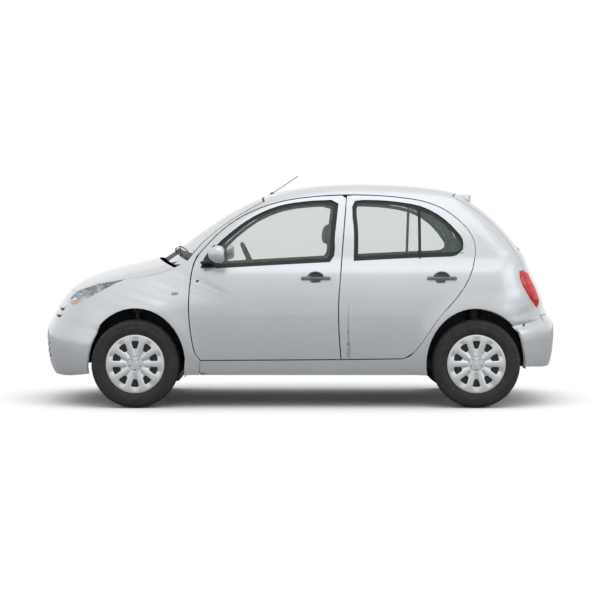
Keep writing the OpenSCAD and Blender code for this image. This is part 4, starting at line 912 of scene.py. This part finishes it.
class CAR_OT_front_grilles(bpy.types.Operator):
    """Builds the mesh behind the grille slots and their chrome strips."""

    bl_idname = "car.front_grilles"
    bl_label = "Grilles and chrome strips"

    def execute(self, context):
        panel_piece("grille_backing", "grille", "shell", ["black_plastic"], layers=(), cuts=1,
                    slot_name="black_plastic")
        for n, z in enumerate((686, 638)):
            line = [fair.ahead(y, z, 3.0, 1000.0, 1900.0) for y in np.linspace(-496, 496, 48)]
            tube(f"grille_chrome_strip_{n}", line, 8.0, "chrome", "shell", "clear_lamp")
        for n, z in enumerate((341, 389, 437)):
            line = [fair.ahead(y, z, 9.0, 1000.0, 1900.0) for y in np.linspace(-425, 425, 40)]
            tube(f"lower_grille_bar_{n}", line, 4.0, "black_plastic", "shell")
        return {"FINISHED"}


class CAR_OT_mirrors(bpy.types.Operator):
    """Builds the door mirrors: painted shells, black feet and glasses."""

    bl_idname = "car.mirrors"
    bl_label = "Door mirrors"

    def execute(self, context):
        for hand, side in SIDES.items():
            body = f"door_f{hand[0]}"
            shell = bmesh.new()
            bmesh.ops.create_cube(shell, size=1.0)
            bmesh.ops.subdivide_edges(shell, edges=shell.edges[:], cuts=3, use_grid_fill=True)
            for v in shell.verts:
                v.co = v.co.normalized() * 0.5 * (max(abs(c) for c in v.co) * 2) ** 0.2 if v.co.length else v.co
                x = v.co.x
                v.co.y *= 1.06 - 0.32 * (0.5 - x) ** 1.5
                v.co.z *= 1.04 - 0.34 * (0.5 - x) ** 1.5
            bmesh.ops.scale(shell, vec=Vector((132, 132, 140)) * MM, verts=shell.verts)
            bmesh.ops.translate(shell, vec=Vector((-574, -866, 1070)) * MM, verts=shell.verts)
            cut = bmesh.ops.bisect_plane(shell, geom=shell.verts[:] + shell.edges[:] + shell.faces[:],
                                         plane_co=Vector((-520, 0, 0)) * MM, plane_no=(1, 0, 0),
                                         clear_outer=True)
            rim = [e for e in cut["geom_cut"] if isinstance(e, bmesh.types.BMEdge)]
            cap = bmesh.ops.contextual_create(shell, geom=rim)["faces"]
            inner = bmesh.ops.inset_region(shell, faces=cap, thickness=0.007, depth=-0.006)["faces"]
            for f in cap:
                f.material_index = 1
            for f in inner:
                f.material_index = 2
            mirrored(shell, side)
            smoothed(new_piece(f"mirror_{hand}_shell", shell, ["paint", "mirror", "black_plastic"], body,
                               "paint", (f"mirror_{hand}",), smooth=50))
            foot = bmesh.new()
            at = fair.on_side(-640, 1014) / MM
            block(foot, (86, 74, 20), (-650, at.y - 36, 1012), round_mm=8.0)
            outline = ((-694, 972), (-560, 976), (-578, 1112), (-600, 1136), (-634, 1096), (-672, 1040))
            corners = [bmesh.ops.create_vert(foot, co=fair.on_side(x, z))["vert"][0] for x, z in outline]
            plate = bmesh.ops.contextual_create(foot, geom=corners)["faces"]
            plate = bmesh.ops.poke(foot, faces=plate)["faces"]
            lines = list({e for f in plate for e in f.edges})
            bmesh.ops.subdivide_edges(foot, edges=lines, cuts=3, use_grid_fill=True)
            on_door = [v for v in foot.verts if abs(v.co.x / MM + 630) < 80 and len(v.link_faces) and
                       abs(float(fair.gap(np.array(v.co[:]) / MM))) < 12 and v.co.z > 0.97]
            for v, co in zip(on_door, fair.settle(places(on_door), -2.2) * MM):
                v.co = co
            bmesh.ops.recalc_face_normals(foot, faces=foot.faces)
            mirrored(foot, side)
            new_piece(f"mirror_{hand}_foot", foot, ["black_plastic"], body, "black_plastic")
        return {"FINISHED"}


# ---- Wheels ----

def cover_height(r):
    """Height of the wheel cover's face over the wheel's middle plane, against the radius."""
    k = r / RIM_RADIUS
    return float(np.interp(k, (0, 0.2, 0.3, 0.42, 0.6, 0.84, 0.93, 1.0, 1.04),
                           (78, 78, 75.5, 76.5, 79, 80, 79.5, 77, 74)))


class CAR_OT_wheels(bpy.types.Operator):
    """Builds the wheels with their spoked silver covers, and the tyres with their tread."""

    bl_idname = "car.wheels"
    bl_label = "Wheels and tyres"

    def execute(self, context):
        spokes = context.scene.car_wheels.spokes
        for place, (axle, side) in WHEELS.items():
            body = "road_wheel_" + place
            lay = wheel_frame(axle, side)
            pieces = (("wheel_cover_", self.cover(spokes), ["cover", "black_plastic"], "wheel", ()),
                      ("wheel_rim_", self.rim(), ["steel"], "wheel", ("wheel_" + place,)),
                      ("tyre_carcass_", self.tyre(context.scene.car_wheels.groove_depth), ["tyre"], "tyre",
                       ("tyre_" + place,)))
            for name, bm, keys, slot_name, stands_for in pieces:
                bmesh.ops.transform(bm, matrix=lay, verts=bm.verts)
                new_piece(name + place, bm, keys, body, slot_name, stands_for, smooth=40)
        return {"FINISHED"}

    def cover(self, spokes):
        """One sector between two spokes' middles, with its hole, turned round the hub."""
        bm = bmesh.new()
        half = math.pi / spokes
        r_in, r_out, hole_in, hole_out = (k * RIM_RADIUS for k in (0.30, 0.975, 0.54, 0.82))
        count = 12
        inner, outer = [], []
        for k in range(4 * count):
            side, t = divmod(k, count)
            t /= count
            along, up = ((2 * t - 1, 0), (1, t), (1 - 2 * t, 1), (-1, 1 - t))[side]
            outer.append((half * along, r_in + (r_out - r_in) * up))
            # A rounded hole that widens outwards
            round_off = (abs(along) ** 5 + abs(2 * up - 1) ** 5) ** 0.2
            s, h = along / round_off, (2 * up - 1) / round_off * 0.5 + 0.5
            wide = (0.40 + 0.20 * h) * half
            inner.append((wide * s, hole_in + (hole_out - hole_in) * h))
        rows = []
        for f in (0.0, 0.5, 0.82, 0.95, 1.0):
            row = []
            for (a, r), (b, q) in zip(outer, inner):
                angle, radius = a + (b - a) * f, r + (q - r) * f
                # A valley runs from the hub to each hole, so that the spokes stand out
                k = radius / RIM_RADIUS
                valley = 11.0 * max(0.0, 1 - abs(angle) / half / 0.62) ** 1.2 * float(np.interp(
                    k, (0.28, 0.36, 0.90, 0.975), (0, 1, 1, 0.4)))
                lift = cover_height(radius) - 3.0 * f ** 6 - valley
                row.append(bm.verts.new(Vector((radius * math.cos(angle), radius * math.sin(angle),
                                                lift)) * MM))
            rows.append(row)
        rows.append([bm.verts.new(v.co - Vector((0, 0, 12)) * MM) for v in rows[-1]])
        for one, two in zip(rows, rows[1:]):
            edges = []
            for row in (one, two):
                for a, b in zip(row, row[1:] + row[:1]):
                    edges.append(bm.edges.get((a, b)) or bm.edges.new((a, b)))
            bmesh.ops.bridge_loops(bm, edges=edges)
        bmesh.ops.rotate(bm, cent=(0, 0, 0), matrix=Matrix.Rotation(math.pi / 2, 3, "Z"), verts=bm.verts)
        bmesh.ops.spin(bm, geom=bm.verts[:] + bm.edges[:] + bm.faces[:], cent=(0, 0, 0), axis=(0, 0, 1),
                       angle=math.tau, steps=spokes, use_duplicate=True)
        bmesh.ops.remove_doubles(bm, verts=bm.verts, dist=2e-5)
        bmesh.ops.recalc_face_normals(bm, faces=bm.faces)
        if sum(f.normal.z for f in bm.faces) < 0:
            bmesh.ops.reverse_faces(bm, faces=bm.faces)
        # The outer ring; the centre cap with five dimples, drawn black as painted shade in their hollows; and a
        # flat black disc behind the cover, painted shade seen through its holes
        rings = [(0.975, cover_height(0.975 * RIM_RADIUS)), (1.0, 77), (1.035, 74), (1.035, 72.4)]
        merged(bm, spun([(k * RIM_RADIUS, h) for k, h in rings], 20 * spokes))
        cap = [(0.30, cover_height(0.3 * RIM_RADIUS)), (0.27, 74.5), (0.255, 73.0), (0.235, 78.5), (0.15, 80),
               (0.135, 77.0), (0.12, 77.0), (0.10, 80.5), (0, 81)]
        merged(bm, spun([(k * RIM_RADIUS, h) for k, h in cap], 80))
        # A flat black disc behind the holes: painted shade where the wheel's dark inside would show
        merged(bm, spun([(0.2 * RIM_RADIUS, 60), (0.96 * RIM_RADIUS, 60)], 60), 1)
        # Five black dimples on the cap: painted shade in their hollows
        for k in range(5):
            a = math.tau * (k + 0.5) / 5 + math.pi / 2
            dimple = spun([(5.2, 0.9), (4.6, 1.3), (3.4, 0.2), (0, 0.0)], 16)
            bmesh.ops.translate(dimple,
                                vec=Vector((0.195 * RIM_RADIUS * math.cos(a),
                                            0.195 * RIM_RADIUS * math.sin(a), 79.2)) * MM, verts=dimple.verts)
            merged(bm, dimple, 1)
        return bm

    def rim(self):
        r = RIM_RADIUS
        return spun([(40, 50), (70, 46), (110, 34), (150, 30), (r - 20, 40), (r - 12, 64), (r - 2, 70),
                     (r + 6, 71.5), (r + 6, 69), (r, 66), (r - 1, -66), (r + 6, -69), (r + 6, -72),
                     (r - 4, -71), (r - 10, -50), (r - 14, 20), (r - 24, 28), (150, 24), (60, 28), (60, -28),
                     (16, -28), (16, 50), (40, 50)], 96)

    def tyre(self, deep):
        half, top, bead = TYRE_WIDTH / 2, TYRE_RADIUS, RIM_RADIUS + 1.0
        d = deep / MM
        side = [(bead, half - 21), (bead + 6, half - 17), (bead + 13, half - 11.5), (bead + 15, half - 11.5),
                (bead + 17, half - 10.6), (bead + 30, half - 4.2), (bead + 46, half - 0.6), (bead + 56, half),
                (bead + 58, half - 0.9), (bead + 66, half - 1.6), (top - 34, half - 3.5),
                (top - 33, half - 2.3), (top - 29, half - 2.6), (top - 28, half - 4.4), (top - 17, half - 8),
                (top - 7, half - 16), (top - 1.2, half - 30)]
        tread = [(top - 0.4, 46), (top - 0.2, 34), (top - 0.2, 33), (top - d, 32), (top - d, 26),
                 (top - 0.1, 25), (top, 5.5), (top - d, 4.5), (top - d, -4.5), (top, -5.5), (top - 0.1, -25),
                 (top - d, -26), (top - d, -32), (top - 0.2, -33), (top - 0.2, -34), (top - 0.4, -46)]
        lower = [(r, -h) for r, h in reversed(side)]
        steps = 144
        bm = spun(side + tread + lower + [(bead, -half + 21), (bead, half - 21)], steps)
        # Every third step of the shoulders and the ribs is cut by a lateral groove
        cut = []
        for f in bm.faces:
            c = f.calc_center_median() / MM
            r = math.hypot(c.x, c.y)
            turn = int(math.atan2(c.y, c.x) / math.tau * steps + steps) % 3
            if turn == 0 and (top - 12 < r and 34 < abs(c.z) < 68 or r > top - 1.5 and 6 < abs(c.z) < 25):
                cut.append(f)
        bmesh.ops.inset_individual(bm, faces=cut, thickness=0.0016, depth=-0.005)
        bmesh.ops.recalc_face_normals(bm, faces=bm.faces)
        return bm


# ---- Cabin ----

def puffed(bm, pressure=4.0, cap_mm=14.0, voxel_mm=11.0, last_frame=14):
    """A padded form: remeshed and blown up by the cloth solver, no point moving further than the cap."""
    scene = bpy.context.scene
    mesh = bpy.data.meshes.new("pad")
    bm.to_mesh(mesh)
    bm.free()
    pad = bpy.data.objects.new("pad", mesh)
    scene.collection.objects.link(pad)
    remesh = pad.modifiers.new("even_mesh", "REMESH")
    remesh.mode, remesh.voxel_size = "VOXEL", voxel_mm * MM
    mesh = bpy.data.meshes.new_from_object(pad.evaluated_get(bpy.context.evaluated_depsgraph_get()))
    pad.modifiers.clear()
    pad.data = mesh
    start = places(mesh.vertices)
    cloth = pad.modifiers.new("padding", "CLOTH")
    cloth.settings.use_pressure, cloth.settings.uniform_pressure_force = True, pressure
    cloth.settings.effector_weights.gravity = 0.0
    cloth.settings.tension_stiffness = cloth.settings.compression_stiffness = 25.0
    cloth.point_cache.frame_start, cloth.point_cache.frame_end = 1, last_frame
    for number in range(1, last_frame + 1):
        scene.frame_set(number)
    solved = bpy.data.meshes.new_from_object(pad.evaluated_get(bpy.context.evaluated_depsgraph_get()))
    moved = places(solved.vertices) - start
    far = np.maximum(np.linalg.norm(moved, axis=1), 1e-9)[:, None]
    moved *= np.minimum(far, cap_mm) / far
    solved.vertices.foreach_set("co", ((start + moved) * MM).ravel())
    bpy.data.objects.remove(pad)
    scene.frame_set(1)
    bm = bmesh.new()
    bm.from_mesh(solved)
    bmesh.ops.smooth_vert(bm, verts=bm.verts, factor=0.5, use_axis_x=True, use_axis_y=True, use_axis_z=True)
    return bm


def side_profile(points, y_low, y_high, round_mm=22.0):
    """A form drawn from the side and widened across the car, with rounded edges; millimetres."""
    bm = bmesh.new()
    face = bm.faces.new([bm.verts.new(Vector((x, y_low, z)) * MM) for x, z in points])
    made = bmesh.ops.extrude_face_region(bm, geom=[face])["geom"]
    bmesh.ops.translate(bm, vec=Vector((0, y_high - y_low, 0)) * MM,
                        verts=[v for v in made if isinstance(v, bmesh.types.BMVert)])
    bmesh.ops.recalc_face_normals(bm, faces=bm.faces)
    bmesh.ops.bevel(bm, geom=bm.edges[:], offset=round_mm * MM, segments=3, profile=0.5, affect="EDGES",
                    material=-1, clamp_overlap=True)
    return bm


class CAR_OT_seats(bpy.types.Operator):
    """Builds the padded front seats and the rear bench, with their head restraints."""

    bl_idname = "car.seats"
    bl_label = "Seats"

    def execute(self, context):
        bolster = [(-300, 400), (120, 400), (150, 455), (0, 486), (-250, 500)]
        forms = (("cushion", [(-322, 372), (150, 372), (158, 425), (60, 452), (-300, 484), (-330, 450)], 0,
                  218, 26), ("bolster_0", bolster, -196, 34, 12), ("bolster_1", bolster, 196, 34, 12),
                 ("backrest", [(96, 470), (188, 450), (262, 1020), (240, 1058), (184, 1052)], 0, 205, 26),
                 ("headrest", [(168, 1140), (250, 1140), (246, 1276), (204, 1288), (176, 1262)], 0, 118, 30))
        for hand, side in SIDES.items():
            mid = 360 * side
            for name, points, offset, half, soft in forms:
                self.pad(f"front_seat_{hand}_{name}", points, mid + offset, half, soft,
                         ("front_seats",) if name == "cushion" and hand == "left" else ())
            frame_bm = bmesh.new()
            block(frame_bm, (440, 380, 40), (-90, mid, 345), round_mm=8)
            for y in (-180, 180):
                block(frame_bm, (440, 36, 90), (-80, mid + y, 285), round_mm=6)
            for y in (-55, 55):
                block(frame_bm, (12, 12, 110), (212, mid + y, 1098), round_mm=5)
            new_piece(f"front_seat_{hand}_frame", frame_bm, ["black_plastic"], "shell", "black_plastic")
        bench = (("cushion", [(628, 384), (1045, 384), (1000, 506), (650, 542), (612, 490)], 510, 26),
                 ("backrest", [(985, 535), (1062, 505), (1170, 985), (1146, 1012), (1098, 1004)], 510, 26))
        for name, points, half, soft in bench:
            self.pad(f"rear_seat_{name}", points, 0, half, soft, ("rear_seat",) if name == "cushion" else ())
        for hand, side in SIDES.items():
            self.pad(f"rear_seat_{hand}_headrest", [(1100, 1068), (1172, 1068), (1176, 1186), (1132, 1194),
                                                    (1108, 1172)], 330 * side, 108, 28, ())
        return {"FINISHED"}

    def pad(self, name, points, centre, half, soft, stands_for):
        bm = puffed(side_profile(points, centre - half, centre + half, soft), cap_mm=9.0)
        piece = new_piece(name, bm, ["cloth"], "shell", "fabric", stands_for, smooth=180)
        smoothed(piece)


class CAR_OT_cabin(bpy.types.Operator):
    """Builds the dashboard with its cowl and vents, and the steering wheel."""

    bl_idname = "car.cabin"
    bl_label = "Dashboard and steering wheel"

    def execute(self, context):
        dash = side_profile([(-732, 705), (-562, 648), (-480, 760), (-463, 872), (-522, 942), (-640, 976),
                             (-732, 946)], -655, 655, 20)
        new_piece("dashboard_moulding", dash, ["cabin"], "shell", "black_plastic", ("dashboard",))
        hood = side_profile([(-560, 930), (-470, 872), (-456, 900), (-500, 962), (-600, 980)], -520, -215, 14)
        new_piece("instrument_hood", hood, ["cabin"], "shell", "black_plastic")
        vents = bmesh.new()
        for y in (-600, -90, 90, 600):
            block(vents, (10, 96, 52), (-466, y * 0.98, 856), round_mm=4)
            for k in range(4):
                block(vents, (4, 84, 3), (-460, y * 0.98, 838 + 12 * k))
        new_piece("dashboard_vents", vents, ["black_plastic"], "shell", "black_plastic")
        hub, rake = Vector((-345, -360, 985)), math.radians(25)
        lay = Matrix.Translation(hub * MM) @ Matrix.Rotation(-math.pi / 2 - rake, 4, "Y")
        ring = bmesh.new()
        circle = bmesh.ops.create_circle(ring, segments=16, radius=0.0145)["verts"]
        bmesh.ops.rotate(ring, cent=(0, 0, 0), matrix=Matrix.Rotation(math.pi / 2, 3, "X"), verts=circle)
        bmesh.ops.translate(ring, vec=Vector((self.rim_radius() - 15, 0, 0)) * MM, verts=circle)
        bmesh.ops.spin(ring, geom=ring.verts[:] + ring.edges[:], cent=(0, 0, 0), axis=(0, 0, 1),
                       angle=math.tau, steps=72, use_merge=True)
        merged(ring, spun([(0, -14), (48, -12), (66, -4), (70, 12), (58, 28), (0, 30)], 40))
        span = self.rim_radius() - 50
        for turn in (90, 270, 0):
            arm = block(ring, (span - 24, 34, 13), (40 + (span - 24) / 2, 0, 1), round_mm=5)
            bmesh.ops.rotate(ring, cent=(0, 0, 0), matrix=Matrix.Rotation(math.radians(turn), 3, "Z"),
                             verts=arm)
        merged(ring, spun([(0, 20), (15, 20), (15, 268), (0, 268)], 24))
        bmesh.ops.recalc_face_normals(ring, faces=ring.faces)
        bmesh.ops.transform(ring, matrix=lay, verts=ring.verts)
        new_piece("steering_wheel_rim", ring, ["black_plastic"], "steering", "black_plastic",
                  ("steering_wheel",))
        return {"FINISHED"}

    def rim_radius(self):
        low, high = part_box("steering_wheel")
        return (high.y - low.y) / 2 / MM


# ---- Under the body ----

class CAR_OT_underbody(bpy.types.Operator):
    """Builds the wheel-arch liners and gives the structure under the body its finish."""

    bl_idname = "car.underbody"
    bl_label = "Arch liners and underbody"

    def execute(self, context):
        for key, nodes in (("sealer", ("floor_pan",)), ("iron", ("engine", "knuckle_left", "knuckle_right")),
                           ("steel", ("front_suspension", "rear_axle", "exhaust")),
                           ("black_plastic", ("fuel_tank",))):
            for node in nodes:
                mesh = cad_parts[node].data
                if not mesh.materials:
                    mesh.materials.append(finish(key))
                for i in range(len(mesh.materials)):
                    mesh.materials[i] = finish(key)
        for place, (axle, side) in WHEELS.items():
            bm = bmesh.new()
            start, end = (-14, 187) if axle < 0 else (-6, 186)
            points = [(axle + (ARCH_X + 5) * math.cos(a), TYRE_RADIUS + (ARCH_Z + 3) * math.sin(a))
                      for a in np.radians(np.linspace(start, end, 40))]
            inner, outer = 610 if axle < 0 else 560, 8.0
            one = [bm.verts.new(Vector((x, -inner, z)) * MM) for x, z in points]
            two = [bm.verts.new(fair.on_side(x, z, outer)) for x, z in points]
            edges = [bm.edges.new(p) for row in (one, two) for p in zip(row, row[1:])]
            bmesh.ops.bridge_loops(bm, edges=edges)
            bmesh.ops.recalc_face_normals(bm, faces=bm.faces)
            bmesh.ops.solidify(bm, geom=bm.faces[:], thickness=0.002)
            bmesh.ops.recalc_face_normals(bm, faces=bm.faces)
            mirrored(bm, side)
            new_piece("arch_liner_" + place, bm, ["sealer"], "shell", "underbody")
        return {"FINISHED"}


class CAR_OT_small_trim(bpy.types.Operator):
    """Builds the wipers and the aerial."""

    bl_idname = "car.small_trim"
    bl_label = "Wipers and aerial"

    def execute(self, context):
        for n, (pivot, low_y, high_y) in enumerate(((-60, -560, -20), (440, 20, 460))):
            blade = self.on_screen(low_y, high_y, 16, 1118.0, 6.0)
            tube(f"wiper_blade_{n}", blade, 5.0, "black_plastic", "shell")
            arm = self.on_screen(pivot, (low_y + high_y) / 2 - 60, 8, 1108.0, 9.0)
            piece = tube(f"wiper_arm_{n}", arm, 5.5, "black_plastic", "shell")
            if n == 0:
                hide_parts("wipers")
        low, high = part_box("aerial")
        foot = Vector((low.x, 0, low.z)) / MM
        base = spun([(0, 17), (7, 16.5), (12, 13), (19, 6), (22, 0), (0, 0)], 32)
        bmesh.ops.scale(base, vec=(1.0, 0.62, 1.0), verts=base.verts)
        bmesh.ops.translate(base, vec=Vector((foot.x + 22, 0, foot.z + 2)) * MM, verts=base.verts)
        new_piece("aerial_base", base, ["black_plastic"], "shell", "black_plastic", ("aerial",))
        tip = Vector((high.x - 0.003, 0, high.z - 0.003))
        root = Vector((foot.x + 24, 0, foot.z + 12)) * MM
        tube("aerial_rod", [root.lerp(tip, t) for t in np.linspace(0, 1, 8)], 2.6, "black_plastic", "shell")
        return {"FINISHED"}

    def on_screen(self, low_y, high_y, count, top, height):
        """A line of points across the windscreen at a height above it; its middle is at the height top."""
        return [fair.ahead(y, top - 60.0 * (y / 560) ** 2, -height, 400.0, 1300.0)
                for y in np.linspace(low_y, high_y, count)]


# ---- Stage ----

# A long lens at eye height, level, with its frame moved down; metres, and millimetres for the lens
CAMERA_AT, LENS, SENSOR, SHIFT_Y = (0.0, -12.8, 1.202), 103.6, 36.0, -0.108
WHITE = (1.0, 1.0, 1.0, 1.0)


class CAR_OT_studio(bpy.types.Operator):
    """Builds the pale floor, the soft lights and the camera."""

    bl_idname = "car.studio"
    bl_label = "Studio"

    def execute(self, context):
        scene = context.scene
        settings = scene.car_stage
        bm = bmesh.new()
        bmesh.ops.create_grid(bm, x_segments=2, y_segments=2, size=40.0)
        mesh = bpy.data.meshes.new("studio_floor")
        bm.to_mesh(mesh)
        bm.free()
        floor = bpy.data.objects.new("studio_floor", mesh)
        scene.collection.objects.link(floor)
        mesh.materials.append(self.floor_paint())
        world = bpy.data.worlds.new("studio_surround")
        scene.world = world
        world.use_nodes = True
        tree = world.node_tree
        tree.nodes.clear()
        level = add(tree, "ShaderNodeMapRange", inputs={"Value": self.seen(tree, True),
                                                        "To Min": settings.sky, "To Max": 1.0})
        light = add(tree, "ShaderNodeBackground", inputs={"Color": WHITE, "Strength": level.outputs[0]})
        add(tree, "ShaderNodeOutputWorld", inputs={"Surface": light.outputs[0]})
        for name, power, size, at, target in (
                ("overhead_softbox", settings.lamp_power, 7.0, (0.8, -2.5, 6.5), (0.2, 0, 0.6)),
                ("front_softbox", settings.lamp_power * 0.1, 4.0, (-7.0, -4.0, 3.0), (-1, 0, 0.6)),
                ("rear_softbox", settings.lamp_power * 0.4, 4.0, (7.0, -4.0, 3.5), (1, 0, 0.6))):
            lamp = bpy.data.lights.new(name, "AREA")
            lamp.energy, lamp.size = power, size
            holder = bpy.data.objects.new(name, lamp)
            holder.location = at
            holder.rotation_euler = (Vector(target) - Vector(at)).to_track_quat("-Z", "Y").to_euler()
            scene.collection.objects.link(holder)
        camera = bpy.data.objects.new("camera", bpy.data.cameras.new("camera"))
        camera.data.lens, camera.data.sensor_width, camera.data.shift_y = LENS, SENSOR, SHIFT_Y
        camera.data.clip_end = 200.0
        camera.location = CAMERA_AT
        camera.rotation_euler = (math.radians(90), 0.0, 0.0)
        scene.collection.objects.link(camera)
        scene.camera = camera
        scene.view_settings.view_transform = "Standard"
        return {"FINISHED"}

    def seen(self, tree, glossy=False):
        """One for rays that the camera sees straight or through glass, and in reflections where asked for."""
        rays = add(tree, "ShaderNodeLightPath")
        both = add(tree, "ShaderNodeMath", {"operation": "MAXIMUM"}, {
            0: rays.outputs["Is Camera Ray"], 1: rays.outputs["Is Transmission Ray"]})
        if glossy:
            both = add(tree, "ShaderNodeMath", {"operation": "MAXIMUM"}, {
                0: both.outputs[0], 1: rays.outputs["Is Glossy Ray"]})
        return both.outputs[0]

    def floor_paint(self):
        """A floor that takes the car's shadow and fades into the white surround away from it.

        The car's paint mirrors it as grey ground."""
        m, tree, shader, place = finish_of("pale_studio_floor", "#FAFAFA", 0.9)
        add(tree, "ShaderNodeMapRange", inputs={"Value": self.seen(tree), "To Min": 0.32, "To Max": 0.95},
            to=shader.inputs["Base Color"])
        oval = add(tree, "ShaderNodeVectorMath", {"operation": "MULTIPLY"},
                   {0: place, 1: (1 / 2.1, 1 / 1.1, 0.0)})
        far = add(tree, "ShaderNodeVectorMath", {"operation": "LENGTH"}, {0: oval.outputs[0]})
        fade = add(tree, "ShaderNodeMapRange", {"interpolation_type": "SMOOTHSTEP"}, {
            "Value": far.outputs["Value"], "From Min": 0.95, "From Max": 1.5})
        white = add(tree, "ShaderNodeMath", {"operation": "MULTIPLY"},
                    {0: fade.outputs[0], 1: self.seen(tree)})
        glow = add(tree, "ShaderNodeEmission", inputs={"Color": WHITE, "Strength": 1.0})
        output = next(n for n in tree.nodes if n.type == "OUTPUT_MATERIAL")
        add(tree, "ShaderNodeMixShader", inputs={0: white.outputs[0], 1: shader.outputs[0],
                                                 2: glow.outputs[0]}, to=output.inputs["Surface"])
        return m


STEPS = (CAR_OT_studio, CAR_OT_shell_panels, CAR_OT_doors, CAR_OT_lids, CAR_OT_glazing, CAR_OT_lamps,
         CAR_OT_front_grilles, CAR_OT_mirrors, CAR_OT_wheels, CAR_OT_seats, CAR_OT_cabin, CAR_OT_underbody,
         CAR_OT_small_trim)
SETTINGS = {"car_paint": CarPaintSettings, "car_wheels": CarWheelSettings, "car_trim": CarTrimSettings,
            "car_stage": CarStageSettings}


class CAR_PT_hatchback(bpy.types.Panel):
    """Sizes, colours and steps of the hatchback."""

    bl_idname = "CAR_PT_hatchback"
    bl_label = "Hatchback"
    bl_space_type = "VIEW_3D"
    bl_region_type = "UI"
    bl_category = "Hatchback"

    def draw(self, context):
        for key, group in SETTINGS.items():
            box = self.layout.box()
            for name in group.__annotations__:
                box.prop(getattr(context.scene, key), name)
        for step in STEPS:
            self.layout.operator(step.bl_idname)


def register():
    for cls in (*SETTINGS.values(), *STEPS, CAR_PT_hatchback):
        bpy.utils.register_class(cls)
    for key, group in SETTINGS.items():
        setattr(bpy.types.Scene, key, bpy.props.PointerProperty(type=group))


def unregister():
    for key in SETTINGS:
        delattr(bpy.types.Scene, key)
    for cls in reversed((*SETTINGS.values(), *STEPS, CAR_PT_hatchback)):
        bpy.utils.unregister_class(cls)


def main():
    register()
    for step in STEPS:
        group, name = step.bl_idname.split(".")
        getattr(getattr(bpy.ops, group), name)()


if __name__ == "__main__":
    main()
